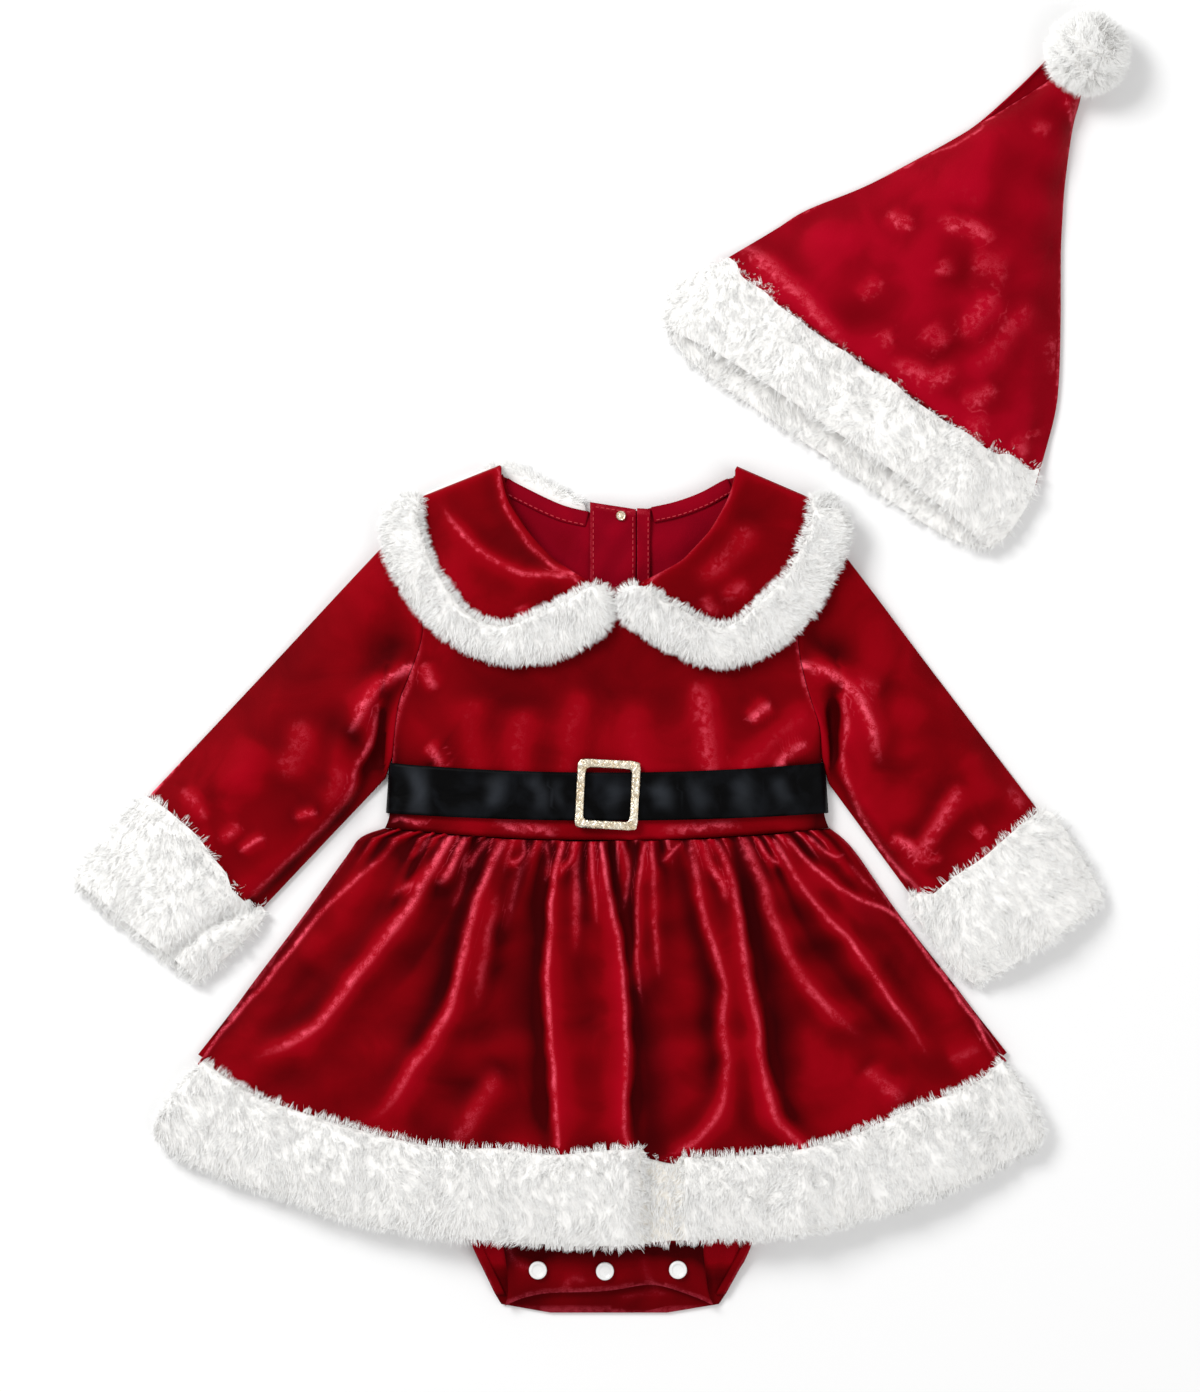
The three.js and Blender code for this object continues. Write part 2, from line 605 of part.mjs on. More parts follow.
const buckleShape = { width: 33.4, height: 36.6, bar: 4.4, corner: 4, depth: 2.2, x: 0.3, y: 19.1, turn: -3 };

function roundedOutline(shape, width, height, radius) {
  const [w, h] = [width / 2, height / 2];
  shape.moveTo(-w + radius, -h);
  shape.lineTo(w - radius, -h);
  shape.absarc(w - radius, -h + radius, radius, -Math.PI / 2, 0);
  shape.lineTo(w, h - radius);
  shape.absarc(w - radius, h - radius, radius, 0, Math.PI / 2);
  shape.lineTo(-w + radius, h);
  shape.absarc(-w + radius, h - radius, radius, Math.PI / 2, Math.PI);
  shape.lineTo(-w, -h + radius);
  shape.absarc(-w + radius, -h + radius, radius, Math.PI, 1.5 * Math.PI);
  return shape;
}

function buckle() {
  const { width, height, bar, corner, depth } = buckleShape;
  const bevel = 0.7;
  const frame = roundedOutline(new THREE.Shape(), width - 2 * bevel, height - 2 * bevel, corner - bevel);
  const window = new THREE.Path();
  const [w, h] = [width / 2 - bar + bevel, height / 2 - bar + bevel];
  const nub = { from: 1.4, to: 5.2, reach: 1.8 };
  const corners = [[-w, -h], [w, -h], [w, h], [-w, h], [-w, nub.to], [-w + nub.reach, nub.to - 0.8],
    [-w + nub.reach, nub.from + 0.8], [-w, nub.from]];
  window.setFromPoints(corners.map(([x, y]) => new THREE.Vector2(x, y)));
  frame.holes.push(window);
  const options = {
    depth: depth - bevel, bevelEnabled: true, bevelThickness: bevel / 2, bevelSize: bevel, bevelSegments: 1, curveSegments: 3,
  };
  return new THREE.ExtrudeGeometry(frame, options).translate(0, 0, bevel / 2);
}

// Skirt: outline, folds and heights
const skirtSide = {
  left: [[-119, 0.2], [-130.9, -4.2], [-138.9, -14.8], [-162.7, -47.7], [-194.5, -90.1], [-217.3, -120.4]],
  right: [[119, 0.2], [126.1, -5.3], [134.1, -14.8], [155.3, -45.1], [192.4, -92.8], [212.5, -119.4]],
};
const hemSeam = curve([
  [-217.3, -120.4], [-189.2, -138.9], [-162.7, -148.4], [-130.9, -157.9], [-88.5, -167], [-56.7, -167.5],
  [-27.6, -170.6], [12.2, -167.6], [38.7, -171.6], [81.1, -170.4], [123.5, -162.7], [160.6, -146.8],
  [192.4, -135.2], [212.5, -119.4],
]);
const hemLow = curve([
  [-241.2, -165.9], [-215.7, -181.3], [-173.3, -196.1], [-130.9, -209.9], [-88.5, -217.3], [-24.9, -222.1],
  [12.2, -222.1], [44, -218.9], [91.7, -217.3], [134.1, -208.8], [176.5, -195], [213.6, -177.6], [232.1, -167],
]);
const hemSide = {
  left: [[-217.3, -120.4], [-233, -136], [-243.4, -156], [-241.2, -165.9]],
  right: [[212.5, -119.4], [227, -137], [234.6, -156], [232.1, -167]],
};
const skirtFolds = [
  { line: [[-102.8, -1], [-144.2, -37.1], [-178.6, -76.9], [-213.1, -119.3]], height: 4, width: 6, runsOut: true },
  { line: [[-83.2, -4], [-107.1, -45.1], [-152.1, -98.1], [-197.2, -124.6]], height: 6, width: 8 },
  { line: [[-73.7, -5], [-85.9, -27.6], [-93, -46]], height: 3, width: 4.5, opens: true },
  { line: [[-54.1, -5], [-72.6, -53], [-83.2, -95.4], [-107.1, -132.5], [-128.3, -153.7]], height: 7, width: 9 },
  { line: [[-43.5, -8], [-56.7, -42.4], [-67.3, -100.7]], height: 3, width: 5, opens: true },
  { line: [[-32.9, -5], [-48.8, -37.1], [-54, -60]], height: 3.4, width: 5, opens: true },
  { line: [[-50, -100], [-60, -130], [-76.9, -168]], height: 3.4, width: 8, runsOut: true },
  { line: [[-15.4, -6], [-27.6, -37.1], [-30.7, -84.8], [-26, -172]], height: 4.5, width: 8, runsOut: true },
  { line: [[-5.3, -6], [1.6, -47.7], [9.6, -84.8], [9.6, -190]], height: 8.5, width: 9, runsOut: true },
  { line: [[23.9, -6], [19, -37.1], [17, -60]], height: 2.6, width: 4.5, opens: true },
  { line: [[42.4, -6], [55.7, -53], [62.5, -90.1], [58, -137.8], [44, -168]], height: 7, width: 8 },
  { line: [[59.9, -5], [71.6, -53], [81.1, -121.9], [102.3, -168]], height: 7, width: 8, runsOut: true },
  { line: [[73.1, -6], [89, -50.4], [112.9, -84.8], [136.7, -114]], height: 4.5, width: 7 },
  { line: [[89, -4], [104.9, -29.2], [139.4, -76.9], [173.8, -124.6]], height: 5.5, width: 7, runsOut: true },
  { line: [[97, -4], [120.8, -29.2], [147.3, -40.8], [176.5, -76.9], [207.2, -120.8]], height: 4, width: 6, runsOut: true },
  { line: [[108.7, -4], [118.2, -13.3], [130, -12]], height: 2.4, width: 4, opens: true },
];
const skirtBackFolds = [
  { line: [[-88, -26], [-122, -70], [-160, -112]], height: 2, width: 8 },
  { line: [[-52, -24], [-66, -80], [-80, -140]], height: 2, width: 9 },
  { line: [[-20, -26], [-24, -84], [-30, -150]], height: 2, width: 8 },
  { line: [[16, -24], [20, -80], [18, -148]], height: 2, width: 9 },
  { line: [[50, -26], [62, -84], [74, -146]], height: 2, width: 8 },
  { line: [[86, -24], [116, -66], [150, -108]], height: 2, width: 8 },
];

const halfBySide = (side) => [...skirtSide[side], ...hemSide[side].slice(1, 3)].map(([x, y]) => [y, Math.abs(x)]);
const skirtHalfRows = { left: halfBySide('left'), right: halfBySide('right') };
const skirtHalf = (x, y) => table(skirtHalfRows[x < 0 ? 'left' : 'right'], y)[1];
const skirtBackLift = (y) => 1.5 * ease((-100 - y) / 18);

function skirtBase(x, y) {
  const side = skirtBackLift(y) + cloth + sideGap;
  const crown = lerp(10.9, 13, clamp(-y / 165));
  return side + crown * (1 - clamp(Math.abs(x) / skirtHalf(x, y)) ** 3);
}

// Small gathers along the waist seam, dying out downwards
function gathers(x, y) {
  const along = (x / skirtHalf(x, y)) * 118;
  const wave = 0.5 + 0.5 * Math.cos((2 * Math.PI * (along + 2.4 * Math.sin(along / 11))) / 9.6);
  return 1.9 * wave * Math.exp((y + 6) / 15) * ease((118 - Math.abs(along)) / 8);
}

const skirtForm = (x, y) => skirtBase(x, y) + foldHeight(skirtFolds, x, y) + gathers(x, y);

function skirtPlan(gap, cols) {
  const top = sample(waistSeam, cols);
  const bottom = sample(hemSeam, cols).map(([x, y]) => [x, y + gap]);
  const ends = (side, k) => sample(curve([top[k], ...skirtSide[side].slice(1, -1), bottom[k]]), 10);
  return spread(top, bottom, ends('left', 0), ends('right', cols));
}

function skirtFront() {
  return sheet(skirtPlan(seamGap + 0.2, 56), 56, 9, (x, y) => skirtForm(x, y) + cloth, skirtForm);
}

function skirtBack() {
  const base = (x, y) => skirtBackLift(y) + foldHeight(skirtBackFolds, x, y);
  return sheet(skirtPlan(3 * seamGap, 22), 22, 5, (x, y) => base(x, y) + cloth, base);
}

// Hem fur: a thick band on each panel, with the recess right of the middle panel
function hemPlan() {
  return spread(
    sample(hemSeam, 62),
    sample(hemLow, 62),
    sample(curve(hemSide.left), 8),
    sample(curve(hemSide.right), 8),
  );
}

const hemRecess = [{ line: [[27, -160], [27, -230]], height: -5, width: 10, opens: true, runsOut: true }];

function hemFurFront() {
  const base = (x, y) => Math.max(
    hemBackFur + seamGap,
    skirtBase(x, y) - 1.5 + 0.55 * foldHeight(skirtFolds, x, Math.max(y, -172)),
  );
  const roll = (s, v) => (1 - Math.abs(2 * v - 1) ** 3) * (1 - Math.abs(2 * s - 1) ** 24);
  const top = (x, y, s, v) => base(x, y) + 4.4 + 5.2 * roll(s, v) + foldHeight(hemRecess, x, y) * roll(s, v);
  return sheet(hemPlan(), 48, 4, top, base);
}

function hemFurBack() {
  const roll = (s, v) => (1 - Math.abs(2 * v - 1) ** 4) * (1 - Math.abs(2 * s - 1) ** 24);
  return sheet(hemPlan(), 20, 2, (x, y, s, v) => lerp(3.2, hemBackFur, roll(s, v)), () => 0);
}

// Brief under the skirt: height down the front, left edge, right edge, heights at side and centre
const briefFrontRows = [
  { y: -9, left: -107, right: 107, side: 3.6, centre: 11 },
  { y: -30, left: -110, right: 110, side: 5.5, centre: 11.2 },
  { y: -70, left: -111, right: 111, side: 5.5, centre: 11.6 },
  { y: -110, left: -111, right: 111, side: 5.6, centre: 12 },
  { y: -135, left: -100, right: 101, side: 6.9, centre: 12.3 },
  { y: -155, left: -86, right: 87, side: 8.6, centre: 12.5 },
  { y: -190, left: -66, right: 64, side: 10.6, centre: 12.6 },
  { y: -221, left: -56, right: 50, side: 11.6, centre: 12.4 },
  { y: -227, left: -56.2, right: 51.4, side: 6, centre: 6.4 },
  { y: -236, left: -56, right: 54, side: 5.2, centre: 5.6 },
  { y: -243, left: -55.4, right: 57.4, side: 4.6, centre: 4.8 },
];
const briefBackRows = [
  { y: -9, left: -110, right: 110, side: 1.9, centre: 1.9 },
  { y: -30, left: -112, right: 112, side: 3.9, centre: 3.9 },
  { y: -70, left: -113, right: 113, side: 3.9, centre: 3.9 },
  { y: -110, left: -113, right: 113, side: 3.9, centre: 3.9 },
  { y: -135, left: -106, right: 107, side: 3.9, centre: 3.9 },
  { y: -152, left: -99, right: 101, side: 4.7, centre: 4.7 },
  { y: -190, left: -83, right: 86, side: 4.8, centre: 4.8 },
  { y: -223, left: -70.5, right: 75.6, side: 4.8, centre: 4.8 },
  { y: -236, left: -64.6, right: 69, side: 1.6, centre: 1.6 },
  { y: -250, left: -58, right: 60.6, side: 0.6, centre: 0.6 },
  { y: -257, left: -45, right: 44, side: 0.4, centre: 0.4 },
];

function briefHeight(rows, x, y) {
  const columns = rows.map((row) => [row.y, row.left, row.right, row.side, row.centre]);
  const [, left, right, side, centre] = table(columns, y);
  const s = (2 * (x - left)) / (right - left) - 1;
  return side + (centre - side) * (1 - Math.min(1, Math.abs(s)) ** 3);
}

function briefSheet(rows, from, to, cols, lift, thickness) {
  const grid = (add) => rows.map((row) => Array.from({ length: cols + 1 }, (_, j) => {
    const x = lerp(from(row), to(row), j / cols);
    return [x, row.y, briefHeight(rows, x, row.y) + add];
  }));
  return wall(grid(lift + thickness), grid(lift));
}

const briefPanel = (rows) => briefSheet(rows, (row) => row.left, (row) => row.right, 10, 0, lining);

function legBinding(side) {
  const rows = briefBackRows.slice(4, 10);
  const width = 5.4;
  const from = (row) => (side === 'left' ? row.left : row.right - width);
  return briefSheet(rows, from, (row) => from(row) + width, 2, lining + seamGap, lining);
}

const briefFrontTop = (x, y) => briefHeight(briefFrontRows, x, y) + lining;

// Snap caps and the small button at the back of the neck
const snaps = [{ x: -36.6, y: -233.2 }, { x: -1.1, y: -233.7 }, { x: 37.6, y: -233 }];

function capGeometry(radius, height) {
  const rim = 0.62;
  const profile = [
    [0, 0], [radius * 0.94, 0], [radius, height * 0.3], [radius * 0.93, height * 0.75], [radius * 0.8, height],
    [radius * rim, height * 0.94], [radius * 0.5, height * 0.72], [0, height * 0.72],
  ];
  return new THREE.LatheGeometry(profile.map(([r, z]) => new THREE.Vector2(r, z)), 12).rotateX(Math.PI / 2);
}

// Hat: rows up the cone, then the fur brim
const coneRows = [
  { b: 0.3, left: -101, right: 102, crown: 18.6, back: 0 },
  { b: 30, left: -87.5, right: 92, crown: 18.6, back: 0 },
  { b: 48, left: -79.5, right: 83, crown: 18.4, back: 0 },
  { b: 76, left: -61, right: 65, crown: 17.6, back: 0 },
  { b: 105, left: -45.6, right: 45.3, crown: 16.4, back: 0 },
  { b: 120, left: -38, right: 36, crown: 15.6, back: 0 },
  { b: 137, left: -30, right: 26, crown: 14.6, back: 0.6 },
  { b: 163, left: -18, right: 13, crown: 13.6, back: 6 },
  { b: 178, left: -12, right: 7.6, crown: 13.6, back: 9 },
  { b: 184.6, left: -9, right: 3.4, crown: 13.6, back: 10.4 },
];
const hatFolds = [
  { line: [[-60, 12], [-28, 10], [6, 14]], height: 2.4, width: 5 },
  { line: [[-12, 92], [10, 70], [44, 78]], height: 2.4, width: 7 },
  { line: [[52, 82], [34, 50], [20, 34]], height: 3, width: 10 },
  { line: [[6, 32], [34, 22], [60, 42]], height: 2.6, width: 7 },
  { line: [[40, 8], [64, 20], [84, 10]], height: 2, width: 6 },
  { line: [[-30, 60], [-12, 44], [4, 40]], height: 1.6, width: 8 },
  { line: [[2, 176], [12, 140], [30, 112]], height: 2, width: 4 },
];

function hatCone() {
  const columns = coneRows.map((row) => [row.b, row.left, row.right, row.crown, row.back]);
  const [low, high] = [columns[0][0], columns[columns.length - 1][0]];
  const rowAt = (v) => table(columns, lerp(low, high, v));
  const plan = (s, v) => {
    const [b, left, right] = rowAt(v);
    return [lerp(left, right, s), b];
  };
  const planBack = (s, v) => {
    const [b, left, right, , back] = rowAt(v);
    return [lerp(left - back, right, s), b];
  };
  const floor = (x, y) => 2 * (1 - ease(y / 24));
  const roof = (x, y, s, v) => {
    const crown = rowAt(v)[3];
    const edge = 4.6 + floor(x, y);
    const sides = 1 - Math.abs(2 * s - 1) ** 2.8;
    return edge + (crown - edge) * sides + foldHeight(hatFolds, x, y) * Math.min(1, 3 * sides);
  };
  return tube({
    plan, planBack, roof, floor, roofWall: cloth, floorWall: cloth, sideWall: 2.2, cols: 14, rows: 11, backCols: 4,
  });
}

function hatBrim() {
  const brim = { front: 44, back: 57.5 };
  const sides = [[0, -104, 104.5], [0.2, -110, 107.4], [0.5, -116.4, 108.8], [0.8, -116, 108.6], [1, -110, 105]];
  const planAt = (depth) => (s, v) => {
    const [, left, right] = table(sides, v);
    const x = lerp(left, right, s);
    const middle = 1 - Math.abs(2 * s - 1) ** 8;
    return [x, lerp(-0.1, -lerp(brim.front, depth, middle), v)];
  };
  const roof = (x, y, s, v) => {
    const dome = 12 + 9 * (1 - Math.abs(2 * s - 1) ** 4);
    return dome + 3 * (1 - Math.abs(2 * v - 1) ** 3) - 1.4;
  };
  return tube({
    plan: planAt(brim.front), planBack: planAt(brim.back), roof, floor: () => 0, roofWall: 7.5, floorWall: 5,
    sideWall: 9, cols: 16, rows: 5, backCols: 6,
  });
}

// Pompom: a core with three-sided locks fused to it
function manifoldOf(geometry) {
  const bare = geometry.clone();
  bare.deleteAttribute('normal');
  bare.deleteAttribute('uv');
  const merged = mergeVertices(bare, 1e-4);
  return new wasm.Manifold(new wasm.Mesh({
    numProp: 3,
    vertProperties: new Float32Array(merged.attributes.position.array),
    triVerts: new Uint32Array(merged.index.array),
  }));
}

function lockGeometry(direction, length, bend) {
  const start = direction.clone().multiplyScalar(pompom.core * 0.8);
  const tangent = new THREE.Vector3(0, 0, 1).cross(direction);
  if (tangent.lengthSq() < 0.01) tangent.set(1, 0, 0);
  tangent.normalize();
  const side = new THREE.Vector3().crossVectors(direction, tangent).normalize();
  const spots = [
    { along: 0, radius: 2.6 },
    { along: 0.62, radius: 2.5 },
  ];
  const points = [];
  for (const { along, radius } of spots) {
    const centre = start.clone().addScaledVector(direction, along * length).addScaledVector(tangent, bend * along ** 2);
    for (let k = 0; k < 3; k += 1) {
      const turn = (2 * Math.PI * k) / 3 + along;
      const point = centre.clone().addScaledVector(tangent, radius * Math.cos(turn))
        .addScaledVector(side, radius * Math.sin(turn));
      points.push(point.toArray());
    }
  }
  points.push(start.clone().addScaledVector(direction, length).addScaledVector(tangent, bend).toArray());
  const faces = [[0, 2, 1]];
  for (let k = 0; k < 3; k += 1) {
    const next = (k + 1) % 3;
    quads(faces, k, next, 3 + next, 3 + k);
    faces.push([3 + k, 3 + next, 6]);
  }
  return solid(points, faces);
}

function hatPompom() {
  const core = new THREE.IcosahedronGeometry(pompom.core, 1);
  let whole = manifoldOf(core);
  const golden = Math.PI * (3 - Math.sqrt(5));
  for (let k = 0; k < pompom.locks; k += 1) {
    const up = 1 - (2 * (k + 0.5)) / pompom.locks;
    const round = Math.sqrt(1 - up * up);
    const direction = new THREE.Vector3(round * Math.cos(golden * k), round * Math.sin(golden * k), up);
    const towardsHat = direction.y < -0.35 && Math.abs(direction.x + 0.2) < 0.85;
    const reach = pompom.reach * (1 - 0.05 * ((k * 7) % 5) / 4);
    const bend = 1.4 * Math.sin(2.4 * k);
    if (towardsHat) continue;
    whole = whole.add(manifoldOf(lockGeometry(direction, reach - pompom.core * 0.8, bend)));
  }
  const { vertProperties, triVerts } = whole.getMesh();
  const geometry = new THREE.BufferGeometry();
  geometry.setAttribute('position', new THREE.Float32BufferAttribute(vertProperties, 3));
  geometry.setIndex(new THREE.Uint32BufferAttribute(triVerts, 1));
  geometry.scale(1, 1, pompom.flat);
  geometry.computeVertexNormals();
  return geometry.translate(pompom.a, pompom.b, pompom.z);
}

// The set, placed as it lies
const romper = new THREE.Group();
const hat = new THREE.Group();
const group = new THREE.Group();
group.add(romper, hat);
hat.position.set(hatPlace.x, hatPlace.y, 0);
hat.rotation.z = THREE.MathUtils.degToRad(hatPlace.turn);

function add(parent, name, finish, geometry, place = [0, 0, 0]) {
  const mesh = new THREE.Mesh(geometry, new THREE.MeshStandardMaterial(colours[finish]));
  mesh.name = name;
  mesh.position.set(...place);
  parent.add(mesh);
  return mesh;
}

add(romper, 'bodice_front', 'velvet', bodiceFront());
for (const side of ['left', 'right']) {
  add(romper, `bodice_back_${side}`, 'velvet', bodiceBack(side));
  add(romper, `neck_binding_${side}`, 'velvet', neckBinding(side));
  add(romper, `placket_${side}`, 'velvet', placket(side));
  add(romper, `sleeve_${side}`, 'velvet', sleeve(side));
  add(romper, `cuff_${side}`, 'fur', cuff(side));
  add(romper, `collar_${side}`, 'velvet', collar(side));
  add(romper, `collar_fur_${side}`, 'fur', collarFur(side));
  add(romper, `leg_binding_${side}`, 'velvet', legBinding(side));
}
add(romper, 'belt', 'satin', belt());
const buckleTop = beltTop(buckleShape.x, buckleShape.y) + seamGap;
const frameMesh = add(romper, 'buckle', 'gold', buckle(), [buckleShape.x, buckleShape.y, buckleTop]);
frameMesh.rotation.z = THREE.MathUtils.degToRad(buckleShape.turn);
add(romper, 'skirt_front', 'velvet', skirtFront());
add(romper, 'skirt_back', 'velvet', skirtBack());
add(romper, 'hem_fur_front', 'fur', hemFurFront());
add(romper, 'hem_fur_back', 'fur', hemFurBack());
add(romper, 'brief_front', 'velvet', briefPanel(briefFrontRows));
add(romper, 'brief_back', 'velvet', briefPanel(briefBackRows));
snaps.forEach(({ x, y }, k) => {
  const z = Math.max(briefFrontTop(x, y + snapRadius), briefFrontTop(x, y)) + seamGap;
  add(romper, `snap_${k + 1}`, 'snap', capGeometry(snapRadius, 2.2), [x, y, z]);
});
const button = { x: 7.4, y: 166.4, radius: 2.8 };
const buttonFloor = backTop(button.x, button.y) + collarGap + lining + seamGap;
add(romper, 'neck_button', 'gold', capGeometry(button.radius, 1.6), [button.x, button.y, buttonFloor]);
add(hat, 'hat_cone', 'velvet', hatCone());
add(hat, 'hat_brim', 'fur', hatBrim());
add(hat, 'hat_pompom', 'fur', hatPompom());

// The origin is on the surface, under the middle of the whole set
group.updateMatrixWorld(true);
const box = new THREE.Box3().setFromObject(group, true);
const middle = box.getCenter(new THREE.Vector3());
group.position.set(-middle.x, -middle.y, -box.min.z);
group.updateMatrixWorld(true);

export default group;
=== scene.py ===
# Baby's velvet romper and hat: cloth, fur, ribbon and trim built round the fixed frame.
# Lines are written in millimetres from the middle of the waist, then placed in the frame.
import math
import bmesh
import bpy
import numpy as np
from mathutils import Matrix, Vector


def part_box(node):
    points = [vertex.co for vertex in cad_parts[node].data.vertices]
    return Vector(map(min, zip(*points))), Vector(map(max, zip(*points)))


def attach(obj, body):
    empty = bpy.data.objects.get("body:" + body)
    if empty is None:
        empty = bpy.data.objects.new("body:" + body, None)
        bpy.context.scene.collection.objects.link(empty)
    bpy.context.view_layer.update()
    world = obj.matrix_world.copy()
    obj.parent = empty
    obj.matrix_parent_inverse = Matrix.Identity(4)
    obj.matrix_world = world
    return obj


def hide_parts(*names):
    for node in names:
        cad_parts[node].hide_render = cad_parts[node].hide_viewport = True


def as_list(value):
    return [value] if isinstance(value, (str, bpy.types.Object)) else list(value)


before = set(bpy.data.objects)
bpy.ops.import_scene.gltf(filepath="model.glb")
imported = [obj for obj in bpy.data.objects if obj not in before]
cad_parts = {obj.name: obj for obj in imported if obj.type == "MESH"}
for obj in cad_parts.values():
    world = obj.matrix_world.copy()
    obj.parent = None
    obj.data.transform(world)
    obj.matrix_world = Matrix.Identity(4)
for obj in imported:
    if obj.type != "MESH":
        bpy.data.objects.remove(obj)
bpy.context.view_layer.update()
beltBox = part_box("belt")
shift = (500 * (beltBox[0][0] + beltBox[1][0]), 1000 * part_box("brief_back")[0][1] + 257.0)
hatPlace = {"x": 144.7, "y": 244.9, "turn": math.radians(-34.4)}
clothWall = 1.3
lowestTop = 1.45  # keeps the underside of a wall clear of the surface
bothEnds = np.array([0.0, 1.0])
print("frame loaded")


# Small maths, on single numbers or whole arrays at once
def lerp(a, b, t):
    return a + (b - a) * t


def ease(t):
    t = np.clip(t, 0, 1)
    return t * t * (3 - 2 * t)


def signedPower(value, power):
    return np.sign(value) * np.abs(value) ** power


def table(rows, at):
    columns = sorted(rows)
    places = [row[0] for row in columns]
    return [np.interp(at, places, [row[k] for row in columns]) for k in range(1, len(rows[0]))]


# A smooth line through points, taken by a share of its length, or evenly from point to point
def smoothLine(points, even=True):
    p = np.array(points, float)
    last = len(p) - 1
    t = np.linspace(0, last, last * 24 + 1)
    k = np.minimum(t.astype(int), last - 1)
    w = (t - k)[:, None]
    before, start, end, after = p[np.maximum(k - 1, 0)], p[k], p[k + 1], p[np.minimum(k + 2, last)]
    pull, push = (end - before) / 2, (after - start) / 2
    rise = end - start
    dense = (pull + push - 2 * rise) * w ** 3 + (3 * rise - 2 * pull - push) * w ** 2 + pull * w + start
    run = t / last
    if even:
        run = np.concatenate([[0], np.cumsum(np.linalg.norm(np.diff(dense[:, :2], axis=0), axis=1))])
        run = run / run[-1]
    return lambda u: np.stack([np.interp(u, run, dense[:, i]) for i in range(p.shape[1])], -1)


def straight(a, b):
    return lambda u: lerp(a, b, u[:, None])


# Several lines end to end, each with its share of the way
def joinLines(parts):
    def along(u):
        u = np.atleast_1d(np.asarray(u, float))
        result = np.zeros((len(u), 2))
        begin = 0.0
        for line, share in parts:
            inside = (u >= begin - 1e-9) & (u <= begin + share + 1e-9)
            result[inside] = line(np.clip((u[inside] - begin) / share, 0, 1))
            begin += share
        return result
    return along


# A plan spread between four edges, s across and v down
def spread(top, bottom, left, right):
    (a, b), (c, d) = top(bothEnds), bottom(bothEnds)

    def plan(s, v):
        sw, vw = s[:, None], v[:, None]
        down = lerp(top(s), bottom(s), vw)
        across = lerp(left(v), right(v), sw)
        return down + across - lerp(lerp(a, b, sw), lerp(c, d, sw), vw)
    return plan


# A plan between two lines, with straight sides
def spreadBetween(top, bottom):
    (a, b), (c, d) = top(bothEnds), bottom(bothEnds)
    return spread(top, bottom, straight(a, c), straight(b, d))


# Slow waves for cloth that isn't quite flat
def softWaves(x, y, scale, seed):
    chance = np.random.default_rng(seed)
    total = 0
    waves = 7
    for _ in range(waves):
        turn = chance.uniform(0, 2 * math.pi)
        stretch = chance.uniform(0.6, 1.6) / scale
        start = chance.uniform(0, 6)
        total = total + np.sin(2 * math.pi * stretch * (x * math.cos(turn) + y * math.sin(turn)) + start)
    return total / waves ** 0.5


# Height of the creases, and what the velvet paints on them: light, how far across it, and shade.
# A row is a line, its height, its width on the left and on the right, its light (below 0 it is
# shade), the light's width, and which of its ends fades.
creaseStyle = {"wander": 0.4, "wanderSize": 26, "fadeIn": 0.3, "fadeOut": 0.35, "fullLight": 3.2}


def creases(rows, x, y):
    height = np.zeros_like(x)
    glows = np.zeros((len(x), 3))
    wander, size = creaseStyle["wander"], creaseStyle["wanderSize"]
    x, y = x + wander * softWaves(x, y, size, 101), y + wander * softWaves(x, y, size, 102)
    for line, high, wideLeft, wideRight, glow, glowWidth, fade in rows:
        way = smoothLine(line)(np.linspace(0, 1, 9 * len(line) - 8))
        reach = max(3.2 * max(wideLeft, wideRight), 2 * glowWidth + 3)
        low, top = way.min(0) - reach, way.max(0) + reach
        near = np.flatnonzero((x > low[0]) & (x < top[0]) & (y > low[1]) & (y < top[1]))
        px, py = x[near], y[near]
        best = np.full(px.shape, 1e9)
        place = np.zeros_like(px)
        side = np.zeros_like(px)
        for k in range(len(way) - 1):
            (ax, ay), (bx, by) = way[k], way[k + 1]
            dx, dy = bx - ax, by - ay
            t = np.clip(((px - ax) * dx + (py - ay) * dy) / (dx * dx + dy * dy), 0, 1)
            away = np.hypot(px - ax - t * dx, py - ay - t * dy)
            closer = away < best
            best = np.where(closer, away, best)
            place = np.where(closer, (k + t) / (len(way) - 1), place)
            side = np.where(closer, np.sign(dx * (py - ay) - dy * (px - ax)), side)
        shown = 1 if fade in ("end", "none") else ease(place / creaseStyle["fadeIn"])
        if fade in ("end", "both"):
            shown = shown * ease((1 - place) / creaseStyle["fadeOut"])
        wide = np.where(side > 0, wideRight, wideLeft)
        height[near] += high * np.exp(-(best / wide) ** 1.8) * shown
        if glow < 0:
            glows[near, 2] = np.maximum(glows[near, 2], -glow * np.exp(-(best / wide) ** 2) * shown)
            continue
        peak = glow * min(1, creaseStyle["fullLight"] / glowWidth)
        strength = peak * np.exp(-(best / (1.25 * glowWidth + 0.8)) ** 4) * shown
        stronger = strength > glows[near, 0]
        glows[near[stronger], :2] = np.stack([strength, side * best / glowWidth], -1)[stronger]
    return height, glows


# The stronger of two lights at each point
def brighter(glows, extra):
    own = np.stack([extra, 0 * extra, glows[:, 2]], -1)
    return np.where((extra > glows[:, 0])[:, None], own, glows)


def edgeLight(shine):
    return np.stack([shine, 0 * shine], -1)


